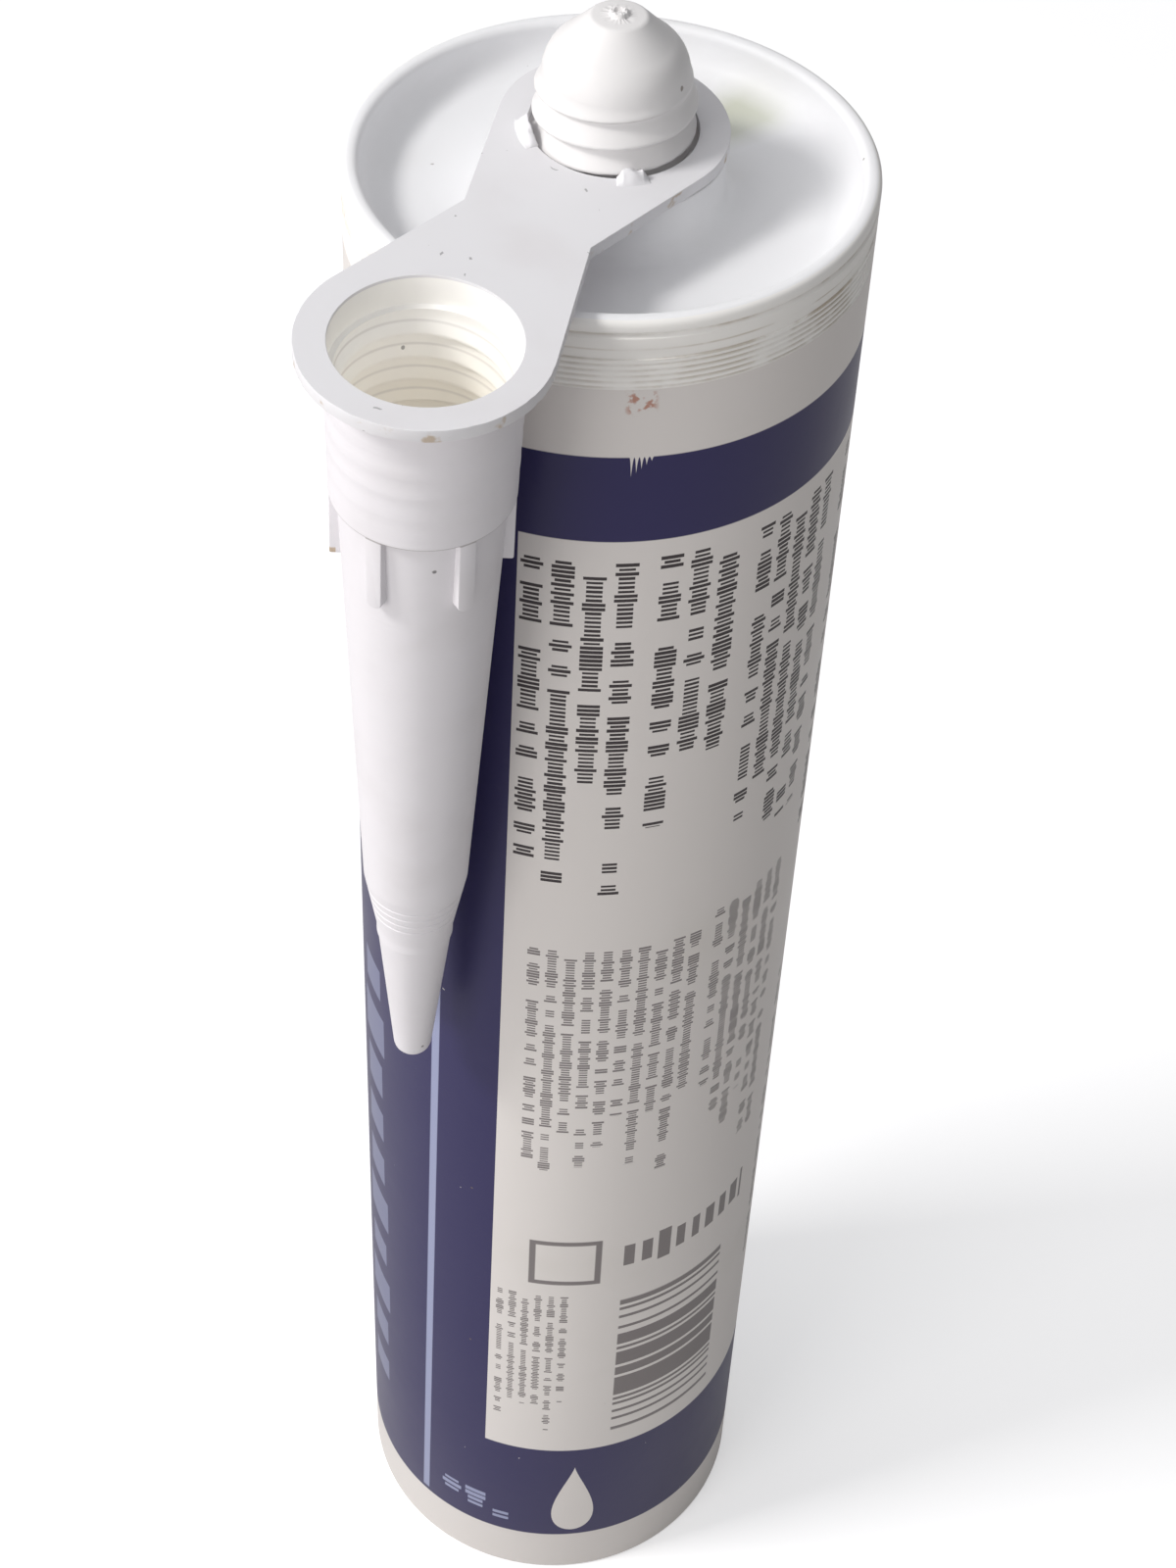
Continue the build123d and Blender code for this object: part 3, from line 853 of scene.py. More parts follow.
    def _drop(self, graph: Graph, height: object, turn: object) -> bpy.types.NodeSocket:
        """Mask of a plain drop with its tip up."""
        layout = self.printing
        low, high = layout.drop_span
        share = graph.math("DIVIDE", graph.math("SUBTRACT", height, low), high - low, clamp=True)
        wide = graph.math("POWER", share, 0.5)
        narrow = graph.math("POWER", graph.math("SUBTRACT", 1.0, share), 1.3)
        half = graph.times(wide, narrow, layout.drop_spread)
        off = graph.math("ABSOLUTE", graph.math("SUBTRACT", turn, layout.drop_at))
        return graph.math("LESS_THAN", off, half)

    def _dirt(self, graph: Graph, effects: Effects, colour: object, place: object, height: object,
              turn: object, outside: object) -> bpy.types.NodeSocket:
        """Dirt caught in the rim's grooves, a brown stain and loose specks."""
        patches = graph.ramp(graph.noise(place, 170.0, 4.0), 0.42, 0.62)
        film = graph.times(effects.between(graph, height, self.film_zone, 1.2), outside, 0.05)
        half = self.groove_half
        grooves = [effects.between(graph, height, (level - half, level + half), 0.16)
                   for level in self.groove_levels]
        more = graph.math("MULTIPLY_ADD", graph.ramp(turn, -70.0, 0.0), 0.4, 0.25)
        caught = graph.times(graph.join(*grooves), outside, patches, more)
        spot = graph.times(effects.between(graph, turn, self.stain_turn, 1.5),
                           effects.between(graph, height, self.stain_zone, 0.8),
                           graph.ramp(graph.noise(place, 1100.0, 3.0), 0.5, 0.62), outside, 0.8)
        specks = graph.call(effects.specks, Place=place, Scale=300.0, Size=0.075, Share=0.07)
        for tint, mask in ((self.groove_dirt, film), (self.dirt, caught), (self.stain, spot),
                           (self.speck, graph.times(specks, 0.7))):
            colour = graph.paint(colour, tint, mask)
        return colour


@dataclass(frozen=True)
class NozzleFinish:
    """Matt white polyethylene of the nozzle and its strap, with specks and hairs.

    A reach is a distance from the nozzle's axis and a zone is a span of depths under the mouth, both
    in millimetres. A thread line is a span of one pitch.
    """

    plate: Colour = ink(226, 225, 228)
    tube: Colour = ink(231, 228, 232)
    bore: Colour = ink(244, 243, 240)
    # Painted shade: the bore's colour deeper inside.
    deep_bore: Colour = ink(236, 230, 216)
    speck: Colour = ink(70, 66, 66)
    edge_dirt: Colour = ink(176, 146, 100)
    step_shadow: Colour = ink(140, 134, 130)
    cloud_shade: Colour = ink(216, 212, 214)
    # Painted light: a faint glow inside the bore, not a lamp.
    glow: Colour = ink(196, 192, 186)
    glow_strength: float = 0.24
    glow_zone: Point = (-6.0, 9.0)
    plate_foot: float = 1.2
    bore_reach: float = 8.43
    bore_zone: Point = (0.3, 16.2)
    deep_zone: Point = (3.0, 16.0)
    pitch: float = 2.6
    helix_origin: float = 13.6
    helix_shift: float = 0.96
    thread_line: Point = (0.62, 0.70)
    thread_zone: Point = (3.4, 14.0)
    rim_zone: Point = (0.1, 1.35)
    rim_reach: float = 10.6
    step_zone: Point = (16.66, 16.95)
    step_reach: float = 7.6
    rib_foot_zone: Point = (24.2, 25.1)
    rib_reach: float = 7.8
    rib_side: float = -0.006
    hair_depth: float = 0.2
    ring_scale: float = 1.3
    relief_depth: float = 0.06
    relief_strength: float = 0.35
    roughness: float = 0.5

    def material(self, effects: Effects, mouth: Vector, axis: Vector) -> bpy.types.Material:
        """Build the nozzle's material.

        Args:
            effects: The shared node groups.
            mouth: Centre of the nozzle's mouth, in metres.
            axis: Unit vector along the nozzle, out of its mouth.

        Returns:
            The finished material.
        """
        material, graph, shader = new_material("moulded_nozzle", self.roughness)
        place = object_place(graph)
        offset = graph.vector("SUBTRACT", place, tuple(mouth))
        rise = graph.vector("DOT_PRODUCT", offset, tuple(axis))
        depth = graph.times(rise, -1 / MM)
        spoke = graph.vector("SCALE", tuple(axis))
        graph.feed(spoke.node.inputs["Scale"], rise)
        reach = graph.times(graph.vector("LENGTH", graph.vector("SUBTRACT", offset, spoke)), 1 / MM)

        colour = graph.paint(self.plate, self.tube, graph.math("GREATER_THAN", depth, self.plate_foot))
        inner = graph.times(graph.math("LESS_THAN", reach, self.bore_reach),
                            graph.math("LESS_THAN", depth, self.bore_zone[1]),
                            graph.math("GREATER_THAN", depth, self.bore_zone[0]))
        # Painted shade: the bore turns darker and yellower deeper inside.
        deep = graph.paint(self.bore, self.deep_bore, graph.ramp(depth, *self.deep_zone))
        colour = graph.paint(colour, deep, inner)
        side = graph.vector("DOT_PRODUCT", offset, (1, 0, 0))
        front = graph.vector("DOT_PRODUCT", offset, (0, 1, 0))
        rising = graph.math("MULTIPLY_ADD", depth, -1 / self.pitch, -self.helix_origin / self.pitch)
        turning = graph.math("DIVIDE", graph.math("ARCTAN2", front, side), tau)
        helix = graph.math("SUBTRACT", rising, turning)
        phase = graph.math("FRACT", graph.math("ADD", helix, self.helix_shift))
        root = graph.times(effects.between(graph, phase, self.thread_line, 0.05), inner,
                           effects.between(graph, depth, self.thread_zone, 0.4))
        cloud = graph.noise(place, 90.0, 3.0)

        rim = graph.times(effects.between(graph, depth, self.rim_zone, 0.1),
                          graph.ramp(graph.noise(place, 420.0, 3.0), 0.6, 0.7),
                          graph.math("GREATER_THAN", reach, self.rim_reach))
        step_line = graph.times(effects.between(graph, depth, self.step_zone, 0.1),
                                graph.math("GREATER_THAN", reach, self.step_reach))
        rib_foot = graph.times(effects.between(graph, depth, self.rib_foot_zone, 0.2),
                               graph.math("GREATER_THAN", reach, self.rib_reach),
                               graph.math("LESS_THAN", side, self.rib_side))
        specks = graph.call(effects.specks, Place=place, Scale=330.0, Size=0.08, Share=0.18)
        hairs = graph.call(effects.hairs, Place=place, Scale=120.0, Width=0.009, Share=0.70)
        top = graph.math("LESS_THAN", depth, self.hair_depth)
        for tint, mask, strength in (
                (self.step_shadow, root, 0.3), (self.cloud_shade, graph.ramp(cloud, 0.45, 0.8), 0.45),
                (self.step_shadow, step_line, 0.6), (self.edge_dirt, rim, 0.6),
                (self.edge_dirt, rib_foot, 0.7), (self.speck, specks, 0.75),
                (self.speck, graph.times(hairs, top), 0.5)):
            colour = graph.paint(colour, tint, graph.times(mask, strength))
        graph.feed(shader.inputs["Base Color"], colour)
        # Painted light: the bore glows faintly, more so deeper down, as if lit through its thin wall.
        through = graph.times(inner, graph.ramp(depth, *self.glow_zone))
        graph.feed(shader.inputs["Emission Color"], graph.paint(ink(0, 0, 0), self.glow, through))
        shader.inputs["Emission Strength"].default_value = self.glow_strength

        gloss = graph.math("MULTIPLY_ADD", cloud, 0.14, self.roughness - 0.07)
        graph.feed(shader.inputs["Roughness"], gloss)
        rings = graph.node("ShaderNodeTexNoise", noise_dimensions="1D")
        graph.feed(rings.inputs["W"], depth)
        rings.inputs["Scale"].default_value = self.ring_scale
        grain = graph.math("MULTIPLY_ADD", graph.noise(place, 700.0, 3.0), 0.6, rings.outputs["Fac"])
        relief = graph.math("SUBTRACT", grain, hairs)
        bump(graph, shader, relief, self.relief_depth * MM, self.relief_strength)
        return material


@dataclass(frozen=True)
class PlainFinish:
    """Plain moulded plastic or paste with a soft mottle."""

    name: str
    colour: Colour
    shade: Colour
    roughness: float
    mottle: float
    relief_depth: float = 0.06
    relief_strength: float = 0.25

    def material(self, effects: Effects) -> bpy.types.Material:
        """Build the material.

        Args:
            effects: The shared node groups.

        Returns:
            The finished material.
        """
        material, graph, shader = new_material(self.name, self.roughness)
        place = object_place(graph)
        cloud = graph.noise(place, self.mottle, 3.0)
        colour = graph.paint(self.colour, self.shade, graph.ramp(cloud, 0.4, 0.75))
        specks = graph.call(effects.specks, Place=place, Scale=260.0, Size=0.10, Share=0.04)
        graph.feed(shader.inputs["Base Color"], graph.paint(colour, self.shade, specks))
        gloss = graph.math("MULTIPLY_ADD", cloud, 0.15, self.roughness - 0.07)
        graph.feed(shader.inputs["Roughness"], gloss)
        grain = graph.noise(place, self.mottle * 6, 3.0)
        bump(graph, shader, grain, self.relief_depth * MM, self.relief_strength)
        return material


# ---------------------------------------------------------------- the pieces


@dataclass
class Barrel:
    """The cartridge's body: wall, front rings, dished head, boss and closed spout."""

    radius: float = 25.0
    bore: float = 23.5
    rim_top: float = 214.3
    rim_inner: float = 23.3
    rim_round: float = 0.7
    bead_foot: float = 212.8
    bead_groove: float = 0.35
    second_foot: float = 211.3
    band_foot: float = 210.2
    band_step: float = 0.12
    groove_count: int = 5
    groove_pitch: float = 0.62
    groove_depth: float = 0.18
    dish_floor: float = 210.3
    dish_round: float = 3.0
    head_underside: float = 208.3
    boss_radius: float = 10.5
    boss_top: float = 215.6
    boss_foot_round: float = 2.0
    channel_radius: float = 5.2
    channel_top: float = 225.5
    channel_step: float = 1.4
    dome_foot: float = 223.4
    dome_steps: int = 10
    dome_arc_radius: float = 4.17
    dome_arc: float = 57.0
    spout_tip: float = 229.2
    tip_radius: float = 2.6
    tip_drop: float = 0.1
    tip_round: float = 0.7
    gate: tuple[tuple[float, ...], ...] = (
        (0.0, 0.12), (0.35, 0.1), (0.5, 0.42, 0.08), (0.8, 0.42, 0.12), (0.92, 0.0, 0.12),
        (1.7, -0.06, 0.3))
    steps: int = 192
    thread: Thread = Thread(wall=6.75, depth=0.8, pitch=2.6, foot=215.9, head=223.9,
                            foot_run=0.4, head_run=2.4, origin=216.9, start=150.0)

    def build(self, effects: Effects) -> bpy.types.Object:
        """Turn the barrel, raise its spout's thread and dress it."""
        piece = lathe("barrel_shell", self._outline(), self.steps)
        self.thread.raise_on(piece)
        self._roughen_gate(piece)
        dress(piece, BarrelFinish().material(effects))
        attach(piece, Body.BARREL.value)
        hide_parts("barrel")
        return piece

    def _outline(self) -> list[Point]:
        """The barrel's section, from the spout's tip over the outside to the inside."""
        shoulder_radius = self.thread.wall - self.dome_arc_radius * (1 - cos(radians(self.dome_arc)))
        shoulder_height = self.dome_foot + self.dome_arc_radius * sin(radians(self.dome_arc))
        tip = [(radius, self.spout_tip + rise, *rounding) for radius, rise, *rounding in self.gate]
        tip += [(self.tip_radius, self.spout_tip - self.tip_drop, self.tip_round),
                (shoulder_radius, shoulder_height)]
        points = outline(tip)
        for step in range(1, self.dome_steps):
            angle = radians(self.dome_arc * (1 - step / self.dome_steps))
            height = self.dome_foot + self.dome_arc_radius * sin(angle)
            if height > self.thread.head:
                radius = self.thread.wall - self.dome_arc_radius * (1 - cos(angle))
                points.append((radius, height))
        points += self.thread.rows(0.1)
        outer = [(self.thread.wall, self.boss_top), (self.boss_radius, self.boss_top, 0.25),
                 (self.boss_radius, self.dish_floor, self.boss_foot_round),
                 (self.rim_inner, self.dish_floor, self.dish_round),
                 (self.rim_inner, self.rim_top, self.rim_round),
                 (self.radius, self.rim_top, self.rim_round),
                 (self.radius, self.bead_foot + self.bead_groove, 0.12),
                 (self.radius - self.bead_groove, self.bead_foot, 0.1),
                 (self.radius, self.bead_foot - self.bead_groove, 0.12),
                 (self.radius, self.second_foot, 0.1),
                 (self.radius - self.band_step, self.second_foot - 0.02),
                 (self.radius - self.band_step, self.band_foot),
                 (self.radius, self.band_foot - 0.05)]
        for count in range(1, self.groove_count + 1):
            level = self.band_foot - self.groove_pitch * count
            outer += [(self.radius, level + self.groove_depth),
                      (self.radius - self.groove_depth, level, 0.05),
                      (self.radius, level - self.groove_depth)]
        rings = [(self.radius, 150.0), (self.radius, 100.0), (self.radius, 50.0)]
        inside = [(self.radius, 0.0, 0.4), (self.bore, 0.0, 0.2), (self.bore, self.head_underside, 1.5),
                  (self.channel_radius, self.head_underside),
                  (self.channel_radius, self.channel_top - self.channel_step),
                  (self.channel_radius - self.channel_step, self.channel_top), (0.0, self.channel_top)]
        return points + outline(outer + rings + inside)

    def _roughen_gate(self, piece: bpy.types.Object) -> None:
        """Make the broken moulding gate on the spout's tip uneven."""
        for vertex in piece.data.vertices:
            if vertex.co.z / MM > self.spout_tip - 0.02:
                vertex.co.z -= abs(noise.noise(vertex.co * 2600)) * 0.22 * MM
                vertex.co.x += noise.noise(vertex.co * 1900) * 0.1 * MM


@dataclass
class Nozzle:
    """The hung nozzle with its carrier strap, one moulding about the nozzle's axis."""

    strap_thickness: float = 1.3
    strap_length: float = 34.7
    spout_hole: float = 7.9
    spout_ring: float = 10.75
    nozzle_ring: float = 11.3
    waist: Point = (6.35, 18.0)
    edge_round: float = 0.28
    mouth: float = 8.4
    mouth_depth: float = 3.2
    collar_top: float = 8.85
    collar_end: float = 8.45
    collar_depth: float = 16.8
    body_top: float = 7.72
    body_end: float = 5.35
    body_depth: float = 71.0
    cone_end: float = 4.0
    cone_depth: float = 79.5
    tip_step_depth: float = 80.8
    tip_end: float = 1.95
    length: float = 102.3
    wall: float = 0.9
    ring_start: float = 72.6
    ring_pitch: float = 1.25
    ring_count: int = 4
    ring_cut: float = 0.15
    ring_half: float = 0.16
    tip_wall: float = 1.2
    mouth_bevel: float = 0.15
    collar_run: float = 0.5
    collar_rows: int = 60
    rib_count: int = 6
    rib_first: float = -92.0
    rib_width: float = 1.7
    rib_reach: float = 8.35
    rib_end: float = 25.3
    steps: int = 128
    ripple: float = 0.03
    nibs: tuple[Point, ...] = ((-153.0, 29.0), (-61.0, 20.0))
    nib_section: tuple[Point, ...] = ((8.0, -0.5), (7.8, 0.7), (7.95, 1.25), (8.35, 1.2), (8.9, 0.35),
                                      (9.3, -0.5))
    nib_steps: int = 14
    end_steps: int = 72
    hole_steps: int = 96
    fray_reach: float = 0.32
    fray_end: float = 7.0
    rib_overlap: float = 0.4
    rib_root: float = 1.2
    rib_bevel: float = 0.16
    thread: Thread = Thread(wall=7.9, depth=-0.62, pitch=2.6, foot=-14.2, head=-3.5,
                            foot_run=0.9, head_run=1.2, origin=-13.6, start=40.0)

    def build(self, effects: Effects, mouth: Vector, axis: Vector) -> bpy.types.Object:
        """Model the nozzle about Z, then set it on its own leaning axis.

        Args:
            effects: The shared node groups.
            mouth: Centre of the nozzle's mouth, in metres.
            axis: Unit vector along the nozzle, out of its mouth.

        Returns:
            The finished nozzle.
        """
        piece = lathe("nozzle_moulding", self._outline(), self.steps)
        self.thread.raise_on(piece)
        self._add_strap(piece)
        self._nick_flange(piece)
        extras = [self._rib(index) for index in range(self.rib_count)]
        extras += [self._nib(index, start, sweep) for index, (start, sweep) in enumerate(self.nibs)]
        pick_only(piece)
        for extra in extras:
            extra.select_set(True)
        bpy.ops.object.join()
        across = axis.cross(Vector((1, 0, 0))).normalized()
        ahead = across.cross(axis).normalized()
        lean = Matrix((ahead, across, axis)).transposed().to_4x4()
        piece.matrix_world = Matrix.Translation(mouth) @ lean
        pick_only(piece)
        apply_place()
        dress(piece, NozzleFinish().material(effects, mouth, axis))
        for face in piece.data.polygons:
            face.material_index = 0
        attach(piece, Body.NOZZLE.value)
        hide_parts("nozzle")
        return piece

    def _body_radius(self, depth: float) -> float:
        """Outer radius of the long taper at a depth under the strap's top."""
        share = (depth - self.collar_depth) / (self.body_depth - self.collar_depth)
        return self.body_top + share * (self.body_end - self.body_top)

    def _outline(self) -> list[Point]:
        """The nozzle's section from its mouth down the inside and up the outside."""
        inner = [(self.mouth, 0.0), (self.mouth, -self.mouth_depth),
                 (self.thread.wall, -self.mouth_depth - self.mouth_bevel)]
        points = outline(inner) + self.thread.rows(0.1)
        passage = [(self._body_radius(self.collar_depth) - self.wall, -self.collar_depth),
                   (self.body_end - self.wall, -self.body_depth),
                   (self.cone_end - self.wall, -self.cone_depth),
                   (self.tip_end - self.wall, self.tip_wall - self.length),
                   (0.0, self.tip_wall - self.length)]
        points += outline(passage)
        outer: list[tuple[float, ...]] = [(0.0, -self.length), (self.tip_end, -self.length, 1.5),
                                          (self.cone_end - 0.12, -self.tip_step_depth, 0.05),
                                          (self.cone_end, -self.tip_step_depth + 0.05, 0.03),
                                          (self.cone_end, -self.cone_depth, 0.6)]
        slope = (self.cone_end - self.body_end) / (self.cone_depth - self.body_depth)
        for count in reversed(range(self.ring_count)):
            depth = self.ring_start + count * self.ring_pitch
            radius = self.body_end + slope * (depth - self.body_depth)
            outer += [(radius + slope * self.ring_half, -depth - self.ring_half),
                      (radius - self.ring_cut, -depth, 0.04),
                      (radius - slope * self.ring_half, -depth + self.ring_half)]
        outer += [(self.body_end, -self.body_depth, 2.0), (self.body_top, -self.collar_depth),
                  (self.collar_end, -self.collar_depth, 0.12),
                  (self.collar_end + 0.01, self.collar_run - self.collar_depth)]
        points += outline(outer)
        collar_foot = self.collar_depth - self.collar_run
        for row in range(1, self.collar_rows):
            share = row / self.collar_rows
            depth = collar_foot - share * (collar_foot - self.strap_thickness)
            radius = self.collar_end + share * (self.collar_top - self.collar_end)
            ripple = self.ripple * (1 - cos(tau * depth / self.thread.pitch)) * sin(pi * share)
            points.append((radius - ripple, -depth))
        return points + [(self.collar_top, -self.strap_thickness)]

    def _strap_loop(self) -> list[Point]:
        """The strap's outline: two round ends joined by straight sides with a waist."""
        loop: list[Point] = []
        waist_x, waist_y = self.waist
        nozzle_angle = self._touch(self.nozzle_ring, 0.0)
        spout_angle = self._touch(self.spout_ring, self.strap_length)
        count = self.end_steps
        start, end = -tau + (pi - nozzle_angle), nozzle_angle
        for step in range(count + 1):
            angle = start + (end - start) * step / count
            loop.append((self.nozzle_ring * cos(angle), self.nozzle_ring * sin(angle)))
        loop.append((waist_x, waist_y))
        start, end = spout_angle, pi - spout_angle
        for step in range(count + 1):
            angle = start + (end - start) * step / count
            loop.append((self.spout_ring * cos(angle), self.strap_length + self.spout_ring * sin(angle)))
        loop.append((-waist_x, waist_y))
        return loop

    def _touch(self, ring: float, ring_y: float) -> float:
        """Angle at which a line from the waist's +X corner touches a ring's outer side."""
        dx, dy = self.waist[0], self.waist[1] - ring_y
        reach = hypot(dx, dy)
        lean = atan2(dy, dx)
        spread = abs(pi / 2 - atan2(ring, (reach**2 - ring**2) ** 0.5))
        return lean - spread if dy > 0 else lean + spread

    def _add_strap(self, piece: bpy.types.Object) -> None:
        """Grow the strap's plate out of the nozzle's open mouth, so that both are one shell.

        Args:
            piece: The turned nozzle with an open edge at the plate's top and underside.
        """
        pick_only(piece)
        mesh = piece.data
        loop = self._strap_loop()
        angles = [tau * count / self.hole_steps for count in range(self.hole_steps)]
        hole = [(self.spout_hole * cos(angle), self.strap_length + self.spout_hole * sin(angle))
                for angle in angles]
        base = len(mesh.vertices)
        levels = (0.0, -self.strap_thickness)
        rings = [ring for level in levels for ring in ((loop, level), (hole, level))]
        mesh.vertices.add(sum(len(ring) for ring, _ in rings))
        edge_base = len(mesh.edges)
        mesh.edges.add(sum(len(ring) for ring, _ in rings))
        at, edge_at = base, edge_base
        for ring, level in rings:
            first = at
            for x, y in ring:
                mesh.vertices[at].co = (x * MM, y * MM, level * MM)
                at += 1
            for step in range(len(ring)):
                mesh.edges[edge_at].vertices = (first + step, first + (step + 1) % len(ring))
                edge_at += 1
        mesh.update()
        bpy.ops.object.mode_set(mode="EDIT")
        bpy.ops.mesh.select_mode(type="EDGE")
        for level, radius in ((0.0, self.mouth), (-self.strap_thickness, self.collar_top)):
            self._select_edges(piece, lambda a, b: self._on_level(a, b, level) and (
                self._on_border(a, b) or self._on_circle(a, b, radius)))
            bpy.ops.mesh.fill(use_beauty=True)
        for ring_test in (self._on_outline, self._on_hole):
            self._select_edges(piece, ring_test)
            bpy.ops.mesh.bridge_edge_loops()
        weld()
        self._select_edges(piece, self._on_plate)
        bpy.ops.mesh.dissolve_limited(angle_limit=radians(1.0), use_dissolve_boundaries=False)
        self._select_edges(piece, self._is_rounded)
        bpy.ops.mesh.bevel(offset=self.edge_round * MM, segments=3, affect="EDGES", clamp_overlap=True)
        bpy.ops.object.mode_set(mode="OBJECT")
        bpy.ops.object.shade_smooth_by_angle(angle=SMOOTH_ANGLE)
        for face in mesh.polygons:
            off_plate = min(abs(face.center.z), abs(face.center.z + self.strap_thickness * MM))
            beyond_mouth = hypot(face.center.x, face.center.y) > self.mouth * MM
            face.use_smooth = not (off_plate < 0.02 * MM and beyond_mouth)

    @staticmethod
    def _select_edges(piece: bpy.types.Object, wanted: EdgeTest) -> None:
        """Select exactly the edges whose two end points pass a test."""
        bpy.ops.mesh.select_all(action="DESELECT")
        bpy.ops.object.mode_set(mode="OBJECT")
        vertices = piece.data.vertices
        for edge in piece.data.edges:
            first, last = edge.vertices
            edge.select = bool(wanted(vertices[first].co, vertices[last].co))
        bpy.ops.object.mode_set(mode="EDIT")

    @staticmethod
    def _on_level(a: Vector, b: Vector, level: float) -> bool:
        """Whether both ends lie at a height."""
        return all(abs(end.z / MM - level) < LEVEL_SLACK for end in (a, b))

    @staticmethod
    def _on_circle(a: Vector, b: Vector, radius: float) -> bool:
        """Whether both ends lie on a circle round the nozzle's axis."""
        return all(abs(hypot(end.x, end.y) / MM - radius) < RING_SLACK for end in (a, b))

    def _on_plate(self, a: Vector, b: Vector) -> bool:
        """Whether an edge lies in the plate's top or in its underside."""
        return self._on_level(a, b, 0.0) or self._on_level(a, b, -self.strap_thickness)

    def _is_rounded(self, a: Vector, b: Vector) -> bool:
        """Whether an edge is one of the plate's borders that are rounded."""
        at_mouth = self._on_level(a, b, 0.0) and self._on_circle(a, b, self.mouth)
        return self._on_plate(a, b) and (self._on_border(a, b) or at_mouth)

    def _on_hole(self, a: Vector, b: Vector) -> bool:
        """Whether an edge runs round the spout's hole, at the plate's top or underside."""
        return self._is_flat(a, b) and all(
            abs(hypot(end.x / MM, end.y / MM - self.strap_length) - self.spout_hole) < RING_SLACK
            for end in (a, b))

    def _is_flat(self, a: Vector, b: Vector) -> bool:
        """Whether an edge is level and at the plate's top or underside."""
        off_plate = min(abs(a.z), abs(a.z + self.strap_thickness * MM))
        return abs(a.z - b.z) <= FLAT_SLACK and off_plate <= MERGE_DISTANCE

    def _on_outline(self, a: Vector, b: Vector) -> bool:
        """Whether an edge is part of the plate's outer outline."""
        if not self._is_flat(a, b):
            return False
        rounds = ((0.0, self.nozzle_ring), (self.strap_length, self.spout_ring))

        def on_ring(end: Vector) -> bool:
            """Whether a point lies on one of the round ends."""
            return any(abs(hypot(end.x / MM, end.y / MM - y) - radius) < RING_SLACK for y, radius in rounds)

        def at_waist(end: Vector) -> bool:
            """Whether a point is one of the waist's corners."""
            off_x = abs(abs(end.x) / MM - self.waist[0])
            return max(off_x, abs(end.y / MM - self.waist[1])) < RING_SLACK

        if at_waist(a) or at_waist(b):
            other = b if at_waist(a) else a
            return on_ring(other) and (a.x > 0) == (b.x > 0)
        return on_ring(a) and on_ring(b) and (a - b).length < 1.5 * MM

    def _on_border(self, a: Vector, b: Vector) -> bool:
        """Whether an edge belongs to the plate's outline or its spout hole."""
        return self._on_outline(a, b) or self._on_hole(a, b)

    def _nick_flange(self, piece: bpy.types.Object) -> None:
        """Fray the flange's outer edge a little, as moulding flash does."""
        for vertex in piece.data.vertices:
            radius = hypot(vertex.co.x, vertex.co.y) / MM
            at_edge = radius > self.nozzle_ring - self.fray_reach and vertex.co.y / MM < self.fray_end
            if at_edge and vertex.co.z > -self.strap_thickness * MM - MERGE_DISTANCE:
                fray = noise.noise(vertex.co * 1300) * 0.09 + noise.noise(vertex.co * 400) * 0.06
                vertex.co *= 1 - abs(fray) / self.nozzle_ring
        piece.data.update()

    def _rib(self, index: int) -> bpy.types.Object:
        """One grip rib, flush with the collar at its top and rounded at its foot."""
        bpy.ops.object.select_all(action="DESELECT")
        top, foot = -self.collar_depth + self.rib_overlap, -self.rib_end
        inner = self.body_end + self.rib_root
        middle = ((inner + self.rib_reach) / 2 * MM, 0, (top + foot) / 2 * MM)
        bpy.ops.mesh.primitive_cube_add(size=1, location=middle)
        rib = bpy.context.object
        rib.name = f"grip_rib_{index}"
        rib.scale = ((self.rib_reach - inner) * MM, self.rib_width * MM, (top - foot) * MM)
        apply_place()

        def at_foot(a: Vector, b: Vector) -> bool:
            """Whether an edge runs outward along the rib's foot."""
            return max(a.z, b.z) < foot * MM * 0.999 and abs(a.y - b.y) < FLAT_SLACK

        def on_front(a: Vector, b: Vector) -> bool:
            """Whether an edge borders the rib's front, except at its top."""
            return min(a.x, b.x) > (self.rib_reach - 0.01) * MM and min(a.z, b.z) <= top * MM * 1.001

        bpy.ops.object.mode_set(mode="EDIT")
        bpy.ops.mesh.select_mode(type="EDGE")
        self._select_edges(rib, at_foot)
        bpy.ops.mesh.bevel(offset=self.rib_width * 0.48 * MM, segments=5, affect="EDGES")
        self._select_edges(rib, on_front)
        bpy.ops.mesh.bevel(offset=self.rib_bevel * MM, segments=2, affect="EDGES")
        bpy.ops.object.mode_set(mode="OBJECT")
        rib.rotation_euler.z = radians(self.rib_first + 360 / self.rib_count * index)
        apply_place()
        bpy.ops.object.shade_smooth_by_angle(angle=SMOOTH_ANGLE)
        return rib

    def _nib(self, index: int, start: float, sweep: float) -> bpy.types.Object:
        """A lip of the spout's hole, stretched and turned up, with a torn top edge."""
        nib = draw_line(f"strap_nib_{index}", list(self.nib_section))
        bpy.ops.mesh.edge_face_add()
        bpy.ops.mesh.spin(steps=self.nib_steps, angle=radians(sweep), center=(0, 0, 0), axis=(0, 0, 1))
        bpy.ops.mesh.select_all(action="SELECT")
        bpy.ops.mesh.remove_doubles(threshold=MERGE_DISTANCE)
        bpy.ops.mesh.subdivide(number_cuts=2, smoothness=0.4)
        bpy.ops.mesh.normals_make_consistent(inside=False)
        bpy.ops.object.mode_set(mode="OBJECT")
        angles = [atan2(vertex.co.y, vertex.co.x) for vertex in nib.data.vertices]
        low, high = min(angles), max(angles)
        for vertex, angle in zip(nib.data.vertices, angles):
            share = (angle - low) / (high - low)
            hump = min(1.0, 5 * share, 5 * (1 - share))
            if vertex.co.z > 0:
                vertex.co.z *= hump * (0.75 + 0.5 * noise.noise(vertex.co * 900))
        nib.rotation_euler.z = radians(start if low > -0.01 else start + sweep)
        nib.location.y = self.strap_length * MM
        apply_place()
        bpy.ops.object.shade_smooth()
        return nib


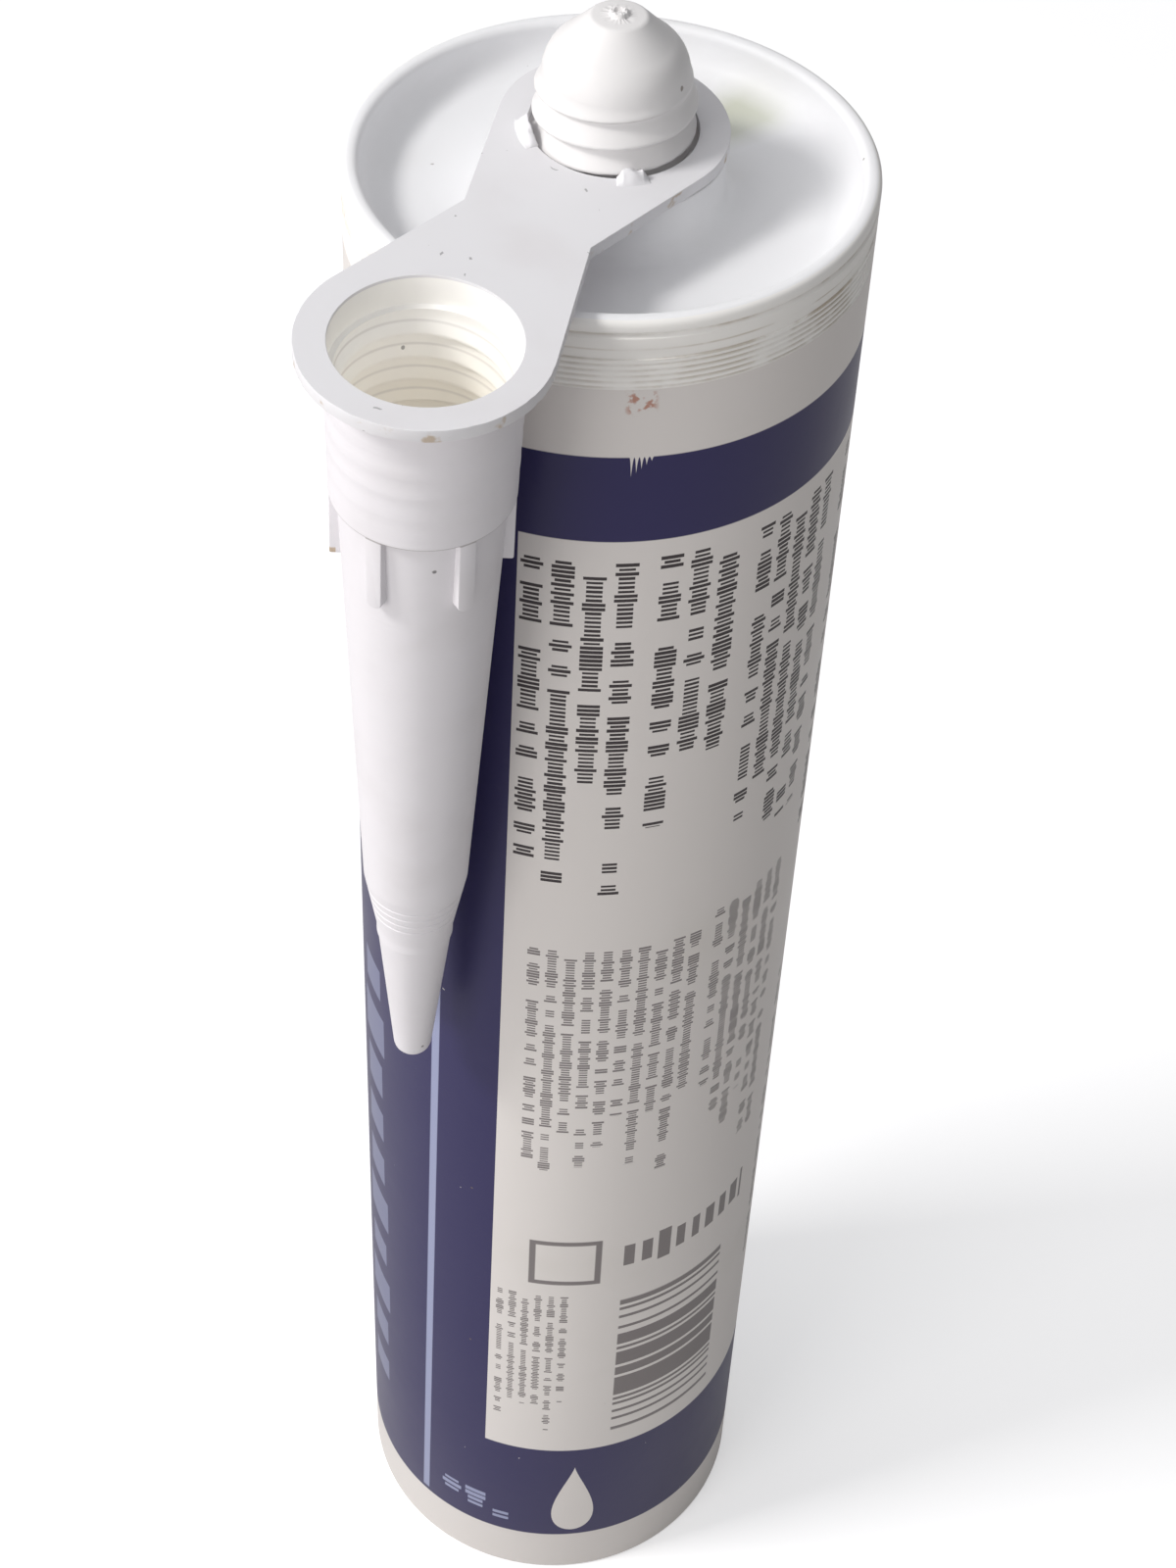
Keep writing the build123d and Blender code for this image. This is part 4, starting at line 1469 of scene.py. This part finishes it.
@dataclass
class Piston:
    """The cup-shaped plunger in the open rear."""

    radius: float = 23.42
    waist: float = 22.92
    hollow: float = 21.52
    top: float = 30.4
    bottom: float = 15.4
    chamfer: float = 2.0
    lip: float = 2.2
    face: float = 2.0
    groove_rings: tuple[float, float, float, float] = (8.0, 7.8, 7.2, 7.0)
    groove_depth: float = 0.35
    lip_run: float = 0.5
    steps: int = 160

    def build(self, effects: Effects) -> bpy.types.Object:
        """Turn the piston and dress it."""
        nose = self.top - self.chamfer
        under = self.top - self.face
        groove_foot = under - self.groove_depth
        outer_lip, outer_foot, inner_foot, inner_lip = self.groove_rings
        front_foot, rear_top = nose - self.lip, self.bottom + self.lip
        section = [(0.0, self.top), (self.radius - self.chamfer, self.top, 0.5), (self.radius, nose, 0.3),
                   (self.radius, front_foot, 0.2), (self.waist, front_foot - self.lip_run, 0.2),
                   (self.waist, rear_top + self.lip_run, 0.2), (self.radius, rear_top, 0.2),
                   (self.radius, self.bottom, 0.2), (self.hollow, self.bottom, 0.2),
                   (self.hollow, under, 0.6), (outer_lip, under), (outer_foot, groove_foot, 0.1),
                   (inner_foot, groove_foot, 0.1), (inner_lip, under), (0.0, under)]
        piece = lathe("piston_cup", outline(section), self.steps)
        finish = PlainFinish("moulded_piston", ink(222, 221, 219), ink(205, 202, 196), 0.5, 120.0)
        dress(piece, finish.material(effects))
        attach(piece, Body.PISTON.value)
        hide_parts("piston")
        return piece


@dataclass
class Filling:
    """The paste: a long part that shortens as the piston rises, and a neck that stays full."""

    radius: float = 23.42
    neck: float = 5.1
    bottom: float = 30.48
    top: float = 208.2
    neck_top: float = 225.4
    neck_chamfer: float = 1.4
    edge: float = 1.5
    seam: float = 0.02
    kept: float = 0.0007
    steps: int = 96

    def build(self, effects: Effects) -> list[bpy.types.Object]:
        """Turn both parts, dress them and give the long one a mesh of its own."""
        long_part = [(0.0, self.top), (self.radius - self.edge, self.top, 0.4),
                     (self.radius, self.top - self.edge, 0.4), (self.radius, self.bottom, 0.6),
                     (0.0, self.bottom)]
        neck_part = [(0.0, self.neck_top), (self.neck - self.neck_chamfer, self.neck_top),
                     (self.neck, self.neck_top - self.neck_chamfer), (self.neck, self.top + self.seam),
                     (0.0, self.top + self.seam)]
        body = lathe("paste_filling", outline(long_part), self.steps)
        neck = lathe("paste_in_spout", outline(neck_part), self.steps)
        finish = PlainFinish("white_paste", ink(232, 229, 220), ink(224, 219, 206), 0.55, 200.0)
        material = finish.material(effects)
        for piece in (body, neck):
            dress(piece, material)
            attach(piece, Body.BARREL.value)
            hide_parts("paste")
        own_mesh(body)
        return [body, neck]


@dataclass(frozen=True)
class Lamp:
    """A square soft lamp that looks at the object.

    Attributes:
        name: Name of the lamp.
        turn: Bearing of the lamp from the object, in degrees.
        lift: Height of the lamp over the horizon, in degrees.
        distance: Metres from the object's middle.
        size: Side of the lamp, in metres.
        power: Power in watts.
        tint: Colour of the light.
    """

    name: str
    turn: float
    lift: float
    distance: float
    size: float
    power: float
    tint: tuple[float, float, float]

    def place(self, target: Vector) -> None:
        """Add the lamp and aim it at a point."""
        level = self.distance * cos(radians(self.lift))
        spot = target + Vector((level * cos(radians(self.turn)), level * sin(radians(self.turn)),
                                self.distance * sin(radians(self.lift))))
        light = bpy.data.lights.new(self.name, "AREA")
        light.shape = "SQUARE"
        light.size = self.size
        light.energy = self.power
        light.color = self.tint
        lamp = bpy.data.objects.new(self.name, light)
        lamp.location = spot
        lamp.rotation_euler = (target - spot).to_track_quat("-Z", "Y").to_euler()
        bpy.context.scene.collection.objects.link(lamp)


@dataclass
class Studio:
    """Pale floor, soft lamps, world light and the camera."""

    camera_place: tuple[float, float, float] = (0.0983, -0.2062, 0.3679)
    bearing: float = 115.3
    pitch: float = 46.05
    roll: float = -2.95
    lens: float = 67.06
    world_strength: float = 0.40
    world_slope: float = 0.37
    bright_side: tuple[float, float, float] = (-0.74, -0.52, 0.62)
    sky: Colour = (0.98, 0.985, 1.0, 1.0)
    mirror_share: float = 0.25
    floor_side: float = 6.0
    floor_glow: float = 0.36
    floor_shine: float = 0.1
    floor_seen: Colour = (0.84, 0.84, 0.85, 1.0)
    floor_bounce: Colour = (0.60, 0.59, 0.58, 1.0)
    lamps: tuple[Lamp, ...] = (
        Lamp("window", 222.0, 47.0, 0.95, 0.2, 4.5, (1.0, 0.985, 0.965)),
        Lamp("wall", 256.0, 16.0, 1.1, 0.5, 3.1, (1.0, 0.975, 0.95)),
    )

    def build(self) -> None:
        """Add everything round the object."""
        self._floor()
        self._world()
        low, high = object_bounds()
        middle = (Vector(low) + Vector(high)) / 2
        for lamp in self.lamps:
            lamp.place(middle)
        self._camera()
        bpy.context.scene.view_settings.view_transform = "Standard"

    def _camera(self) -> None:
        """Stand the camera over the front of the spout, looking down the barrel."""
        ahead = Vector((cos(radians(self.bearing)) * cos(radians(self.pitch)),
                        sin(radians(self.bearing)) * cos(radians(self.pitch)), -sin(radians(self.pitch))))
        right = Vector((sin(radians(self.bearing)), -cos(radians(self.bearing)), 0))
        down = ahead.cross(right)
        tilt = radians(self.roll)
        across = right * cos(tilt) + down * sin(tilt)
        upward = right * sin(tilt) - down * cos(tilt)
        data = bpy.data.cameras.new("camera")
        data.lens = self.lens
        data.clip_start = 0.01
        camera = bpy.data.objects.new("camera", data)
        camera.matrix_world = (Matrix.Translation(self.camera_place)
                               @ Matrix((across, upward, -ahead)).transposed().to_4x4())
        bpy.context.scene.collection.objects.link(camera)
        bpy.context.scene.camera = camera

    def _seen(self, graph: Graph) -> bpy.types.NodeSocket:
        """One for rays from the camera, part for mirrored ones, zero for the light on the object."""
        path = graph.node("ShaderNodeLightPath")
        mirrored = graph.times(path.outputs["Is Glossy Ray"], self.mirror_share)
        seen = graph.math("MAXIMUM", path.outputs["Is Camera Ray"], mirrored)
        return graph.math("MAXIMUM", seen, path.outputs["Is Transmission Ray"])

    def _world(self) -> None:
        """Even pale light from all round, white where the camera sees it."""
        world = bpy.data.worlds.new("studio")
        world.use_nodes = True
        bpy.context.scene.world = world
        graph = Graph(world.node_tree)
        backdrop = world.node_tree.nodes["Background"]
        backdrop.inputs["Color"].default_value = self.sky
        direction = graph.node("ShaderNodeTexCoord").outputs["Generated"]
        slope = graph.vector("DOT_PRODUCT", direction, self.bright_side)
        light = graph.math("MULTIPLY_ADD", slope, self.world_slope, self.world_strength, clamp=True)
        seen = graph.node("ShaderNodeLightPath").outputs["Is Camera Ray"]
        rest = graph.times(seen, graph.math("SUBTRACT", 1.0, light))
        graph.feed(backdrop.inputs["Strength"], graph.math("ADD", light, rest))

    def _floor(self) -> None:
        """A wide pale floor that keeps the object's shadow."""
        bpy.ops.object.select_all(action="DESELECT")
        bpy.ops.mesh.primitive_plane_add(size=self.floor_side, location=(0, 0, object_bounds()[0][2]))
        floor = bpy.context.object
        floor.name = "floor"
        material, graph, shader = new_material("pale_floor", 0.9)
        seen = self._seen(graph)
        graph.feed(shader.inputs["Base Color"], graph.paint(self.floor_bounce, self.floor_seen, seen))
        shader.inputs["Specular IOR Level"].default_value = self.floor_shine
        shader.inputs["Emission Color"].default_value = (1, 1, 1, 1)
        graph.feed(shader.inputs["Emission Strength"], graph.times(seen, self.floor_glow))
        floor.data.materials.append(material)
        floor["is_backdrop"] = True


def main() -> None:
    """Build the tube's pieces and its studio."""
    logging.basicConfig(level=logging.INFO, format="%(name)s: %(message)s")
    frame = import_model()
    mounts = {mount["name"]: mount for mount in frame["record"]["mounts"]}
    opening = mounts["nozzle_mouth"]
    axis = Vector(opening["axis"]).normalized()
    mouth = Vector(opening["pos_m"]) + axis * opening["dims"]["length_mm"] / 2 * MM
    effects = Effects()
    pieces = [Barrel().build(effects), Nozzle().build(effects, mouth, axis), Piston().build(effects)]
    pieces += Filling().build(effects)
    for piece in pieces:
        LOG.info("%s: %d faces", piece.name, len(piece.data.polygons))
    Studio().build()


if __name__ == "__main__":
    main()
